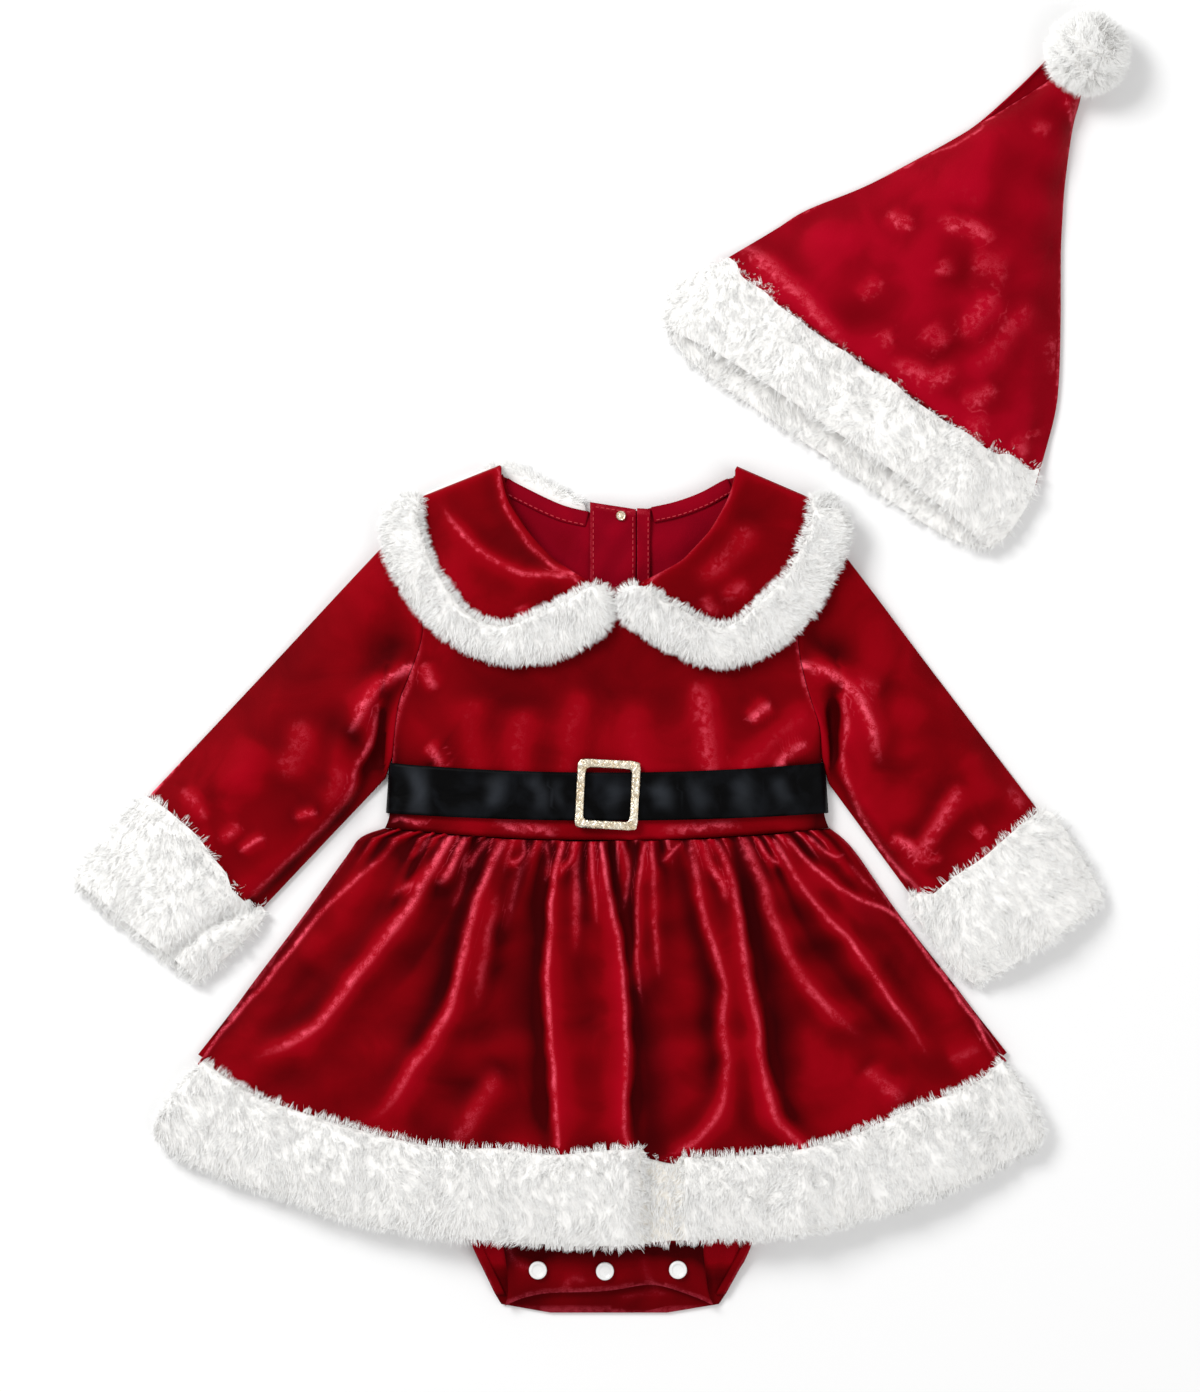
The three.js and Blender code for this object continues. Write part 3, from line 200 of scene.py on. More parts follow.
# Creases of each piece, as the cloth lies. The skirt's shaded hollows come first
skirtFolds = [
    ([(16.5, -6.2), (13.3, -23.5), (13.3, -43), (15.2, -66)], 0, 2.6, 2.8, -0.9, 1, "end"),
    ([(14.9, -58), (18, -94), (21.2, -125.7), (22.6, -149), (22, -171)], 0, 5, 13, -0.85, 1, "start"),
    ([(-32.3, -12), (-34.6, -39.2), (-37, -62.8), (-41.7, -86.4), (-38.6, -110), (-37, -133.5)],
          0, 12, 4, -0.6, 1, "both"),
    ([(-11.8, -6.5), (-13.4, -23.5), (-11.8, -39.2)], 0, 2.4, 2.4, -0.85, 1, "end"),
    ([(-42.5, -6.5), (-44.8, -20.3), (-51.1, -39.2), (-54.3, -58)], 0, 3, 4, -0.75, 1, "end"),
    ([(-59.8, -6.2), (-66.9, -23.5), (-74.7, -43.9), (-81, -64.4), (-88.9, -86.4), (-101.4, -105.2),
          (-114, -122.5)], 0, 10, 3, -0.8, 1, "end"),
    ([(-73.1, -7), (-75.5, -23.5), (-82.6, -39.2), (-93.6, -58), (-107.7, -76.9), (-120.3, -92.7)],
          0, 8, 3, -0.65, 1, "end"),
    ([(36.9, -7), (41.6, -31.4), (47.9, -54.9), (52.6, -80), (54.2, -110), (49.5, -133.5)],
          0, 6, 3, -0.6, 1, "end"),
    ([(68.3, -7), (73, -31.4), (79.3, -58), (87.2, -86.4), (91.9, -114.7), (99.8, -141.4), (106, -157)],
          0, 3, 9, -0.8, 1, "end"),
    ([(85.6, -8), (95.1, -31.4), (107.6, -54.9), (126.2, -80), (150, -105), (175, -135)],
          0, 3, 8, -0.55, 1, "both"),
    ([(26, -6.5), (29, -23.5)], 0, 2.4, 2.4, -0.75, 1, "end"),
    ([(-29.9, -6.5), (-32.3, -20.3)], 0, 2.2, 2.2, -0.75, 1, "end"),
    ([(-0.8, -6.5), (3.9, -23.5), (5.5, -43.9)], 0, 2.4, 2.4, -0.75, 1, "end"),
    ([(-110.9, -151), (-88.9, -158.7), (-70, -163)], 0, 9, 9, -0.5, 1, "both"),
    ([(-150, -60), (-166, -86), (-186, -112)], 0, 10, 6, -0.5, 1, "both"),
    ([(120, -30), (150, -58), (176, -96)], 0, 5, 9, -0.45, 1, "both"),
    ([(-102.8, 0), (-122.4, -17), (-144.2, -36.6), (-163.2, -58.3), (-182.9, -82.7), (-206.2, -109.2),
          (-213.6, -119.8)], 3.6, 4, 13, 0.85, 1.4, "start"),
    ([(-83.2, -3.7), (-92.8, -20.1), (-103.4, -39.8), (-117.7, -58.3), (-136.2, -81.6), (-151.1, -100.7),
          (-170.7, -114), (-196.6, -124)], 6.2, 7, 9, 0.85, 2.6, "end"),
    ([(-93.8, -2.1), (-99.1, -10.6), (-105.5, -15.9)], 1.8, 3, 4, 0.38, 1.5, "end"),
    ([(-88, -8), (-93.3, -19.1), (-100.2, -26.5), (-108.7, -30.7), (-116.1, -37.1)],
          2.2, 3, 5, 0.38, 2, "end"),
    ([(-75.3, -5.3), (-79, -13.8), (-84.3, -22.8), (-90.6, -29.7)], 3.4, 4, 5, 0.75, 2.2, "end"),
    ([(-74.2, -6.4), (-74.7, -18.6), (-77.9, -31.8), (-84.3, -45.1)], 2.0, 5, 3, 0.19, 2, "end"),
    ([(-64.1, -6.4), (-69.4, -13.8), (-73.7, -22.3)], 2.0, 3, 4, 0.38, 1.5, "end"),
    ([(-55.1, -5.8), (-64.7, -26.5), (-72.6, -50.4), (-77.9, -76.9), (-85.9, -100.7), (-101.8, -123),
          (-115, -144.2), (-132, -157.9)], 6.8, 5, 12, 0.7, 2.4, "end"),
    ([(-56.7, -26.5), (-58.8, -39.8), (-62, -53), (-64.7, -68.9), (-67.3, -84.8), (-71.5, -98.1)],
          2.6, 9, 4, 0.23, 3, "both"),
    ([(-44, -5.8), (-44, -12.7), (-48.8, -17), (-52.5, -12.7)], 2.0, 3, 3, 0.56, 1.3, "end"),
    ([(-36, -6.9), (-42.9, -17), (-47.2, -26.5), (-50.9, -39.8), (-54.1, -58.3)], 3.2, 4, 9, 0.23, 2, "end"),
    ([(-32.3, -6.4), (-31.3, -17), (-33.4, -29.2)], 1.8, 3, 3, 0.28, 1.5, "end"),
    ([(-55.1, -123), (-62, -135.7), (-68.9, -147.3), (-76.9, -161.1)], 3.2, 8, 9, 0.42, 4.5, "start"),
    ([(-23.3, -6.4), (-27.6, -23.9), (-29.7, -53), (-31.3, -82.2), (-28.6, -116.6), (-27, -148.4),
          (-26.5, -165.4)], 6.2, 3.6, 17, 0.89, 1.5, "none"),
    ([(-17, -6.4), (-18.6, -14.8), (-23.9, -21.2), (-27, -27.6)], 2.4, 3, 3, 0.56, 1.3, "end"),
    ([(-15.9, -8), (-15.9, -26.5), (-16.4, -53), (-17, -68.9)], 1.4, 3, 3, 0.28, 2.5, "end"),
    ([(-8.5, -6.4), (-8, -17), (-6.9, -31.8), (-4.8, -53)], 2.2, 3, 5, 0.47, 1.3, "end"),
    ([(-3.2, -6.4), (1.6, -37.1), (8, -71.5), (10.1, -111.3), (9, -153.7), (10.6, -165.4)],
          7.4, 16, 3.4, 0.8, 1.5, "none"),
    ([(8, -6.4), (10.6, -17), (11.1, -29.2), (8, -45.1)], 2.2, 5, 3, 0.28, 1.5, "end"),
    ([(20.7, -6.4), (18, -15.9), (16.4, -37.1), (15.9, -58.3), (17, -79.5), (19.6, -98.1)],
          3.6, 3.2, 6, 0.42, 1.3, "end"),
    ([(23.3, -6.4), (24.4, -21.2), (25.4, -42.4), (26.5, -63.6), (27, -82.2)], 2.2, 4, 4, 0.42, 1.6, "end"),
    ([(37.6, -7.4), (32.3, -14.3), (28.1, -17)], 1.6, 3, 3, 0.47, 1.2, "end"),
    ([(44, -6.4), (50.9, -42.4), (61, -76.9), (61, -100.7), (63.1, -121.9), (59.4, -145.8), (47.2, -162.7),
          (37.6, -168.5)], 4.4, 5, 10, 0.56, 2, "none"),
    ([(50.4, -6.9), (53.5, -17), (57.8, -23.9), (61.5, -29.7), (63.1, -39.8)], 3.0, 3, 4, 0.66, 1.8, "end"),
    ([(57.8, -6.4), (64.7, -21.2), (68.4, -39.8), (72.6, -68.9), (78.4, -98.1), (82.2, -127.2),
          (89.6, -151.1), (103.9, -167)], 7.2, 11, 4.2, 0.66, 2, "none"),
    ([(72.1, -5.8), (81.1, -26.5), (89.6, -50.4), (99.6, -71.5), (114, -91.2), (131.4, -107.1),
          (140.5, -116.6)], 5.4, 8, 9, 0.56, 2.8, "end"),
    ([(79.5, -5.8), (83.7, -12.7), (89.6, -16.4), (93.8, -14.8)], 2.4, 3, 3, 0.56, 1.2, "end"),
    ([(88.5, -5.8), (98.1, -21.2), (110.2, -38.2), (131.4, -62.5), (147.3, -85.9), (161.7, -106),
          (174.4, -125.1)], 5.0, 8, 7, 0.7, 1.6, "end"),
    ([(95.9, -5.3), (112.9, -23.3), (133, -36.6), (152.6, -45.1), (168.5, -64.7), (189.7, -92.8),
          (206.2, -119.8)], 4.2, 12, 4, 0.8, 1.3, "none"),
    ([(107.6, -4.2), (115.5, -10.6), (122.4, -13.8), (127.7, -12.2)], 2.4, 3.4, 3.4, 0.75, 1.2, "end"),
    ([(126.7, -17), (135.2, -25.4), (144.7, -35)], 1.6, 4, 3, 0.38, 1.4, "both"),
    ([(135.2, -123), (146.8, -134.6), (159.5, -143.1)], 3.0, 8, 8, 0.52, 4, "both"),
    ([(179.1, -123), (191.3, -117.7), (200.3, -115.5)], 1.4, 6, 6, 0.28, 4, "both"),
]
leftSleeveFolds = [
    ([(-103.4, 85.9), (-109.7, 83.2), (-116.1, 79.5), (-121.4, 75.3), (-125.6, 68.9), (-129.8, 62.5),
          (-133, 56.2), (-136.2, 48.8)], 4.6, 7, 8, 0.89, 3.1, "end"),
    ([(-120.8, 66.8), (-124.6, 48.8), (-132, 34.5), (-136.2, 20.1), (-149.5, 2.7), (-168, -14.8),
          (-186.6, -33.4)], 4.6, 13, 3.4, 0.42, 1.6, "none"),
    ([(-159.5, 62.5), (-161.7, 47.7), (-165.4, 37.1), (-171.2, 22.3)], 1.6, 9, 9, 0.32, 7, "both"),
    ([(-138.9, 37.1), (-144.2, 21.2), (-149.5, 9.5)], 1.2, 8, 8, 0.16, 5.6, "both"),
    ([(-151.6, 10.1), (-158.5, 9.5), (-167, 6.4)], 2.0, 3.5, 4, 0.85, 1.8, "both"),
    ([(-179.7, -4.2), (-186.6, -6.4), (-194.5, -13.2)], 2.2, 3.5, 4, 0.8, 1.8, "both"),
    ([(-194, 4.8), (-198.8, -1.1), (-206.2, -5.8)], 1.6, 4, 4, 0.47, 3.4, "both"),
    ([(-227.4, 22.8), (-220, 17.5), (-215.7, 11.7), (-210.4, 3.2)], 1.6, 4, 4, 0.47, 3.6, "both"),
    ([(-242.2, 18.6), (-235.9, 26), (-227.4, 35)], 0.6, 3, 3, 0.9, 1.2, "none"),
    ([(-182.9, 50.4), (-194.5, 29.2), (-198.8, 15.9)], 1.8, 14, 12, 0, 4, "both"),
]
rightSleeveFolds = [
    ([(104.9, 87.5), (119.2, 82.2), (129.8, 74.2), (137.8, 59.4), (142.6, 42.4), (145.2, 31.8)],
          4.8, 8, 8, 0.89, 3.1, "end"),
    ([(130.4, 79.5), (138.3, 77.4), (145.8, 73.1)], 1.2, 5, 5, 0.37, 4.2, "both"),
    ([(125.1, 70), (127.2, 54.1), (124.6, 39.8), (127.2, 25.4), (134.1, 9.5), (144.7, -8.5),
          (160.6, -27.6), (165.4, -32.9)], 4.6, 3.4, 13, 0.6, 1.5, "none"),
    ([(148.9, -2.7), (157.9, -6.9), (164.8, -13.2)], 2.6, 5, 4, 0.89, 3.1, "both"),
    ([(164.8, -13.2), (170.1, -4.2), (176.5, 6.4), (182.9, 15.9), (186, 27.6)], 3.0, 6, 5, 0.63, 3.9, "end"),
    ([(164.8, -17.5), (171.2, -15.4), (179.1, -14.3)], 1.0, 3, 3, 0.4, 1.8, "both"),
    ([(212.5, 22.3), (217.8, 15.9), (223.1, 11.7)], 1.0, 4, 4, 0.37, 4.2, "both"),
    ([(193.5, -4.2), (196.6, -1.6), (200.9, 2.1)], 1.0, 4, 4, 0.53, 3.4, "both"),
    ([(163.2, 74.2), (157.9, 53), (163.2, 31.8)], 1.8, 13, 12, 0, 4, "both"),
    ([(203, 47.7), (200.3, 26.5), (205.6, 10.6)], 1.6, 12, 12, 0, 4, "both"),
]
bodiceFolds = [
    ([(-62, 4.5), (-44, 1.6), (-22, -0.4)], 0, 4, 4, 0.73, 3.6, "both"),
    ([(26, 0.2), (48, 2.0), (74, 3.6)], 0, 4, 4, 0.53, 3.1, "both"),
    ([(-113, 8), (-104, 5), (-92, 3.2)], 0.4, 4, 4, 0.6, 1.8, "both"),
    ([(-97, 90.1), (-93.8, 80.6), (-89.6, 73.1)], 1.4, 4, 4, 0.53, 3.1, "both"),
    ([(-95.9, 46.6), (-90.6, 39.8), (-88, 33.9)], 1.6, 4, 5, 0.58, 3.1, "start"),
    ([(-67.3, 74.2), (-72.6, 53), (-68.4, 34.5)], 1.6, 12, 9, 0.11, 5.6, "start"),
    ([(-40.8, 68.9), (-45.1, 50.4), (-46.1, 32.9)], 1.4, 9, 8, 0.13, 5.6, "start"),
    ([(-11.7, 79.5), (-16.4, 58.3), (-19.6, 34.5)], 1.3, 10, 8, 0.13, 7, "start"),
    ([(17.5, 74.2), (14.3, 53), (17.5, 34.5)], 1.2, 9, 9, 0.08, 7, "start"),
    ([(47.7, 82.2), (50.9, 68.9), (52.5, 53), (55.1, 32.9)], 2.2, 7, 7, 0.53, 5.9, "start"),
    ([(73.7, 57.2), (80, 62.5), (88.5, 68.4)], 2.2, 4, 5, 0.79, 3.1, "both"),
    ([(87.5, 31.8), (94.3, 38.7), (101.8, 44.5)], 2.4, 5, 4, 0.84, 3.1, "start"),
    ([(112.9, 68.9), (102.3, 58.3), (86.4, 45.1), (73.1, 32.9)], 2.0, 8, 8, 0.11, 5.6, "start"),
    ([(-99.1, 106), (-100.2, 95.4), (-103.9, 79.5), (-108.7, 68.9), (-111.8, 57.2), (-113.4, 45.1),
          (-115, 35)], 0.5, 2, 2, 0.5, 2, "none"),
    ([(100.7, 100.7), (103.9, 82.2), (108.1, 68.9), (112.4, 59.4), (115.5, 49.3), (116.1, 32.9)],
          0.5, 2, 2, 0.45, 1.8, "none"),
]
collarFolds = [
    ([(-90.6, 174.9), (-82.2, 164.3), (-71.5, 152.1), (-62, 144.2), (-50.4, 137.8), (-38.2, 134.6),
          (-18.6, 135.7)], 2.2, 8, 5, 0.6, 1.8, "start"),
    ([(81.1, 164.3), (67.8, 148.4), (55.7, 136.7), (44, 129.8)], 1.6, 8, 8, 0.37, 5.6, "both"),
    ([(58.8, 121.9), (67.8, 127.2), (76.9, 131.4)], 0.9, 4, 4, 0.32, 4.2, "both"),
    ([(-46.1, 119.8), (-44, 114.5), (-46.1, 110.2)], 0.7, 4, 4, 0.37, 3.4, "both"),
    ([(49.3, 124.6), (55.7, 116.6), (58.8, 111.3)], 0.7, 4, 4, 0.32, 4.2, "both"),
    ([(-56.7, 189.7), (-55.1, 174.9), (-47.2, 159), (-32.9, 143.1), (-16.4, 131.4)],
          0.5, 2.4, 2.4, 0.5, 1.3, "none"),
    ([(63.6, 191.9), (64.1, 177.6), (55.7, 161.7), (44, 147.3), (22.8, 132.5)],
          0.5, 2.4, 2.4, 0.5, 1.3, "none"),
]
hatFolds = [
    ([(72.1, 310.1), (83.7, 301), (97, 287.3), (110.2, 272.9), (120.8, 259.7), (130.9, 248)],
          2.2, 6, 6, 0.61, 4.7, "end"),
    ([(199.8, 376.8), (216.2, 386.9), (234.8, 397)], 0.8, 3, 3, 0.9, 1.2, "none"),
    ([(70.5, 312.2), (134.1, 341.9), (187.1, 365.2), (200.3, 374.2)], 0.2, 2, 2, 0.35, 1, "none"),
    ([(250.2, 389.6), (246.5, 365.7), (243.3, 333.9), (241.2, 280.9), (240.1, 238.5), (238.5, 214.7)],
          0.2, 2, 2, 0.35, 1.4, "none"),
    ([(146.3, 327.5), (155.3, 322.2), (164.8, 322.2)], 1.4, 6, 6, 0.68, 4.7, "both"),
    ([(172.2, 322.8), (187.1, 319.1), (200.3, 313.8), (206.7, 309.5)], 1.6, 6, 6, 0.74, 5, "both"),
    ([(188.2, 300), (200.3, 297.9), (215.7, 292.6)], 1.6, 9, 9, 0.74, 10.8, "both"),
    ([(205.6, 286.2), (200.3, 275.6), (192.4, 265), (184.4, 256.5)], 2.0, 6, 7, 0.54, 6.1, "both"),
    ([(130.4, 280.4), (138.3, 286.2), (145.8, 291.5)], 1.0, 5, 5, 0.54, 5.4, "both"),
    ([(174.4, 301), (177.6, 295.7), (178.6, 290.4)], 0.8, 6, 6, 0.54, 6.5, "both"),
    ([(146.8, 247), (160.6, 243.3), (171.2, 238), (179.1, 242.2), (187.1, 248.6)],
          2.2, 5, 5, 0.81, 5.8, "both"),
    ([(167, 266.1), (174.4, 259.7), (180.7, 254.4)], 1.4, 7, 7, 0.54, 7.2, "both"),
    ([(143.6, 263.9), (147.9, 258.6), (151.1, 257.6)], 0.8, 5, 5, 0.54, 4.7, "both"),
    ([(230.6, 282), (216.2, 267.7), (208.3, 257.1), (200.3, 248), (188.7, 238.5)],
          2.0, 7, 7, 0.47, 7.2, "both"),
    ([(185.5, 224.7), (198.8, 230), (206.7, 236.4)], 1.4, 5, 5, 0.61, 5, "both"),
    ([(188.2, 210.9), (195.6, 213.6), (203, 215.2)], 1.2, 6, 6, 0.68, 7.2, "both"),
    ([(212.5, 207.8), (218.9, 203), (224.2, 196.1)], 1.2, 5, 5, 0.54, 5.4, "both"),
    ([(226.3, 213.1), (227.4, 209.9), (227.9, 207.8)], 0.6, 5, 5, 0.47, 4.7, "both"),
    ([(243.3, 384.2), (245.4, 379), (247.5, 372.1)], 0.8, 3, 3, 0.4, 1.8, "end"),
    ([(235.9, 265), (237.4, 254.4), (238, 239.6)], 0.6, 6, 6, 0.41, 5.4, "both"),
    ([(223.1, 368.9), (229.5, 371), (235.9, 367.8)], 0.6, 5, 5, 0.34, 5.4, "both"),
    ([(102.3, 320.7), (118.2, 312.7), (139.4, 307.4)], 1.8, 12, 10, 0, 3, "both"),
    ([(171.2, 344.5), (187.1, 339.2), (208.3, 333.9)], 1.6, 12, 10, 0.14, 10.8, "both"),
]
briefFolds = [
    ([(-54.1, -217.3), (-48.8, -229), (-40.8, -232.1)], 1.2, 5, 5, 0.14, 3, "start"),
    ([(17.5, -223.7), (21.7, -235.9), (25.4, -243.8)], 1.2, 6, 6, 0.11, 3, "start"),
    ([(-24.9, -243.8), (-17, -237.4), (-9, -241.2)], 0.8, 6, 5, 0.14, 3, "both"),
    ([(1.6, -249.1), (17.5, -247.5), (38.7, -245.9)], 0.8, 4, 4, 0.11, 2, "both"),
]


# Finishes: a wire is a socket that takes part in sums
class Wire:
    def __init__(self, finish, socket):
        self.finish, self.socket = finish, socket

    def sum(self, operation, first, second):
        return self.finish.node("ShaderNodeMath", {"operation": operation}, {0: first, 1: second})

    def __add__(self, other):
        return self.sum("ADD", self, other)

    def __sub__(self, other):
        return self.sum("SUBTRACT", self, other)

    def __rsub__(self, other):
        return self.sum("SUBTRACT", other, self)

    def __mul__(self, other):
        return self.sum("MULTIPLY", self, other)

    def __rpow__(self, other):
        return self.sum("POWER", other, self)

    __radd__, __rmul__ = __add__, __mul__


class Finish:
    def __init__(self, name, constants):
        self.material = bpy.data.materials.new(name)
        self.material.use_nodes = True
        self.tree = self.material.node_tree
        self.shader = self.tree.nodes["Principled BSDF"]
        for socket, value in constants.items():
            self.shader.inputs[socket].default_value = value

    def node(self, kind, settings=None, inputs=None, output=0):
        made = self.tree.nodes.new(kind)
        for key, value in (settings or {}).items():
            setattr(made, key, value)
        for key, value in (inputs or {}).items():
            self.feed(made.inputs[key], value)
        return Wire(self, made.outputs[output])

    def feed(self, socket, value):
        if isinstance(value, Wire):
            self.tree.links.new(value.socket, socket)
        else:
            socket.default_value = value

    def noise(self, scale, detail=3.0, distortion=0.0, where=None):
        place = where or self.node("ShaderNodeTexCoord", output="Object")
        inputs = {"Vector": place, "Scale": scale, "Detail": detail, "Distortion": distortion}
        return self.node("ShaderNodeTexNoise", {}, inputs)

    def painted(self, name):
        return self.node("ShaderNodeAttribute", {"attribute_name": name}, output="Fac")

    def blend(self, factor, a, b):
        return self.node("ShaderNodeMix", {"data_type": "RGBA"}, {0: factor, 6: a, 7: b}, output=2)

    def ramp(self, value, low, high):
        inputs = {0: value, 1: low, 2: high, 3: 0.0, 4: 1.0}
        return self.node("ShaderNodeMapRange", {"clamp": True}, inputs)

    def bump(self, height, strength, distance, below=None):
        inputs = {"Height": height, "Strength": strength, "Distance": distance}
        if below is not None:
            inputs["Normal"] = below
        return self.node("ShaderNodeBump", {}, inputs)

    def show(self, colour, rough=None, normal=None):
        for socket, value in (("Base Color", colour), ("Roughness", rough), ("Normal", normal)):
            if value is not None:
                self.feed(self.shader.inputs[socket], value)
        return self.material


# Velvet colours: deepShade is painted shade in the hollows, bright a painted highlight on the crests,
# paintedSheen a painted highlight along the creases, shadow the painted shade of the shade rows, halo a
# painted glow round the highlights
velvetLook = {
    "deepShade": (0.050, 0.0, 0.0006, 1), "red": (0.222, 0.0003, 0.0030, 1),
    "bright": (0.365, 0.0008, 0.0085, 1), "paintedSheen": (0.80, 0.085, 0.135, 1),
    "shadow": (0.022, 0.0, 0.0004, 1), "halo": (0.46, 0.008, 0.020, 1),
}


# Crushed velvet with painted light: painted shade in the hollows, painted highlights on the crests and along
# the creases
def velvetFinish(name, colours, broken=1.0):
    finish = Finish(name, {
        "Sheen Weight": 0.06, "Sheen Roughness": 0.3, "Sheen Tint": (1.0, 0.12, 0.2, 1),
        "Specular IOR Level": 0.06, "Specular Tint": (1.0, 0.3, 0.35, 1)})
    crush = finish.noise(34, 4.0, 0.7)
    cloud = finish.noise(260, 3.0, 0.4)
    speckle = finish.noise(1900, 2.0)
    crest = finish.painted("crest")
    rim = finish.painted("rim") * 1.45 + (cloud - 0.5) * (1.7 * broken)
    light = finish.painted("light") * 0.37 ** (rim * rim)
    drift = (crush - 0.5) * 1.1 + (finish.noise(11, 2.0, 0.3) - 0.5) * 1.6
    # painted shade in the hollows and painted highlight on the crests, from how far the cloth stands over
    # what is round it, shifted by random mottling
    tone = finish.blend(finish.ramp(crest * 1.3 + drift, -1.0, 0.3), colours["deepShade"], colours["red"])
    tone = finish.blend(finish.ramp(crest * 0.8 + drift, 0.0, 1.3), tone, colours["bright"])
    # painted shade along the shade rows
    tone = finish.blend(finish.painted("shade") * 0.88, tone, colours["shadow"])
    # a painted glow round each painted highlight
    halo = finish.painted("light") * 0.7 ** (rim * rim)
    tone = finish.blend(halo * 0.6, tone, colours["halo"])
    # painted sheen: speckled painted highlight along the creases
    patchy = (crush - 0.5) * 2.2 + (cloud - 0.5) * (2.2 * broken) + (speckle - 0.5) * 2.6 + 0.54
    tone = finish.blend(finish.ramp(light * patchy, 0.03, 1.0), tone, colours["paintedSheen"])
    pile = finish.bump(speckle, 0.2, 0.0004)
    soft = finish.bump(crush, 0.25, 0.004, pile)
    return finish.show(colour=tone, rough=0.72 - crush * 0.15, normal=soft)


# Fur: with the tip attribute, painted shade darkens the blades towards their roots; the faint white emission
# is painted light, as if light scattered through the fibres
def furFinish(name, light, dark, paintedBy="tip", glow=0.04):
    finish = Finish(name, {
        "Roughness": 0.9, "Sheen Weight": 0.3, "Sheen Roughness": 0.5, "Specular IOR Level": 0.1,
        "Emission Color": (1.0, 0.99, 0.96, 1), "Emission Strength": glow})
    tone = finish.blend(finish.ramp(finish.painted(paintedBy), 0.0, 0.6), dark, light)
    cloud = finish.ramp(finish.noise(70, 3.0), 0.42, 0.78)
    return finish.show(colour=finish.blend(cloud * 0.12, tone, (0.86, 0.84, 0.80, 1)))


def satinFinish():
    finish = Finish("satinRibbon", {"Specular IOR Level": 0.04})
    along = finish.node("ShaderNodeUVMap", {"uv_map": "weave"})
    stretched = finish.node("ShaderNodeMapping", {}, {"Vector": along, "Scale": (90.0, 900.0, 1.0)})
    threads = finish.noise(1.0, 2.0, 0.0, stretched)
    crease = finish.noise(55, 3.0, 0.5)
    black, grey = (0.0012, 0.0012, 0.0014, 1), (0.012, 0.014, 0.018, 1)
    tone = finish.blend(finish.ramp(crease, 0.45, 0.8) * 0.6, black, grey)
    rim = finish.painted("rim")
    shine = finish.painted("light") * 0.37 ** (rim * rim)
    tone = finish.blend(shine * (0.3 + crease), tone, (0.060, 0.068, 0.082, 1))
    normal = finish.bump(crease, 0.35, 0.003, finish.bump(threads, 0.15, 0.0002))
    return finish.show(colour=tone, rough=0.36 + crease * 0.16, normal=normal)


def goldFinish():
    finish = Finish("champagneGold", {"Metallic": 1.0})
    hammer = finish.noise(420, 3.0, 0.6)
    grain = finish.noise(1800, 2.0)
    worn, pale = (0.66, 0.52, 0.34, 1), (1.0, 0.93, 0.78, 1)
    tone = finish.blend(finish.ramp(hammer, 0.35, 0.65), worn, pale)
    normal = finish.bump(hammer, 0.6, 0.0012, finish.bump(grain, 0.2, 0.0003))
    return finish.show(colour=tone, rough=0.24 + grain * 0.2, normal=normal)


def snapFinish():
    finish = Finish("snapEnamel", {"Coat Weight": 0.6, "Coat Roughness": 0.12})
    cloud = finish.noise(300, 2.0)
    tone = finish.blend(cloud, (0.84, 0.84, 0.83, 1), (0.90, 0.90, 0.89, 1))
    return finish.show(colour=tone, rough=0.22 + cloud * 0.1)


def threadFinish():
    finish = Finish("redThread", {"Specular IOR Level": 0.4})
    twist = finish.noise(1500, 2.0)
    tone = finish.blend(twist, (0.35, 0.002, 0.012, 1), (0.62, 0.03, 0.05, 1))
    return finish.show(colour=tone, rough=0.45 + twist * 0.2)


velvet = velvetFinish("crushedVelvet", velvetLook)
# the same velvet with its painted highlights broken up more
velvetSoft = velvetFinish("brokenSheenVelvet", velvetLook, 1.7)
hatLook = dict(
    velvetLook, deepShade=(0.13, 0.0, 0.002, 1), red=(0.30, 0.0006, 0.008, 1),
    bright=(0.43, 0.001, 0.016, 1), shadow=(0.06, 0.0, 0.001, 1))
velvetHat = velvetFinish("hatVelvet", hatLook, 2.0)
insideLook = dict(velvetLook, deepShade=(0.16, 0.0003, 0.004, 1), red=(0.23, 0.0006, 0.009, 1))
velvetInside = velvetFinish("velvetInside", insideLook)
furWhite = furFinish("plushFur", (0.95, 0.95, 0.94, 1), (0.84, 0.83, 0.81, 1))
# the pompom glows more: painted light that evens out its shaded side
pompomWhite = furFinish("pompomFur", (0.96, 0.96, 0.95, 1), (0.90, 0.89, 0.87, 1), "tip", 0.11)
furGround = furFinish("furGround", (0.80, 0.76, 0.69, 1), (0.90, 0.89, 0.87, 1), "light")
satin = satinFinish()
gold = goldFinish()
enamel = snapFinish()
thread = threadFinish()
print("finishes made")


# Every piece is put in the scene here
def addObject(name, data, material=None):
    made = bpy.data.objects.new(name, data)
    bpy.context.collection.objects.link(made)
    if material:
        data.materials.append(material)
    return made


def addPiece(name, work, material):
    mesh = bpy.data.meshes.new(name)
    work.to_mesh(mesh)
    work.free()
    return addObject(name, mesh, material)


def blurred(grid, passes):
    for _ in range(passes):
        wide = np.pad(grid, 1, mode="edge")
        beside = wide[:-2, 1:-1] + wide[2:, 1:-1] + wide[1:-1, :-2] + wide[1:-1, 2:]
        grid = (beside + 2 * wide[1:-1, 1:-1]) / 6
    return grid


# Outwards is away from the middle of the piece on a closed form, and up on an open one
def turnOutwards(work, joined):
    if joined:
        bmesh.ops.remove_doubles(work, verts=work.verts, dist=2e-6)
        bmesh.ops.recalc_face_normals(work, faces=work.faces)
    facing = sum(face.calc_area() * face.normal.z * face.calc_center_median().z for face in work.faces)
    if facing < 0:
        bmesh.ops.reverse_faces(work, faces=work.faces)


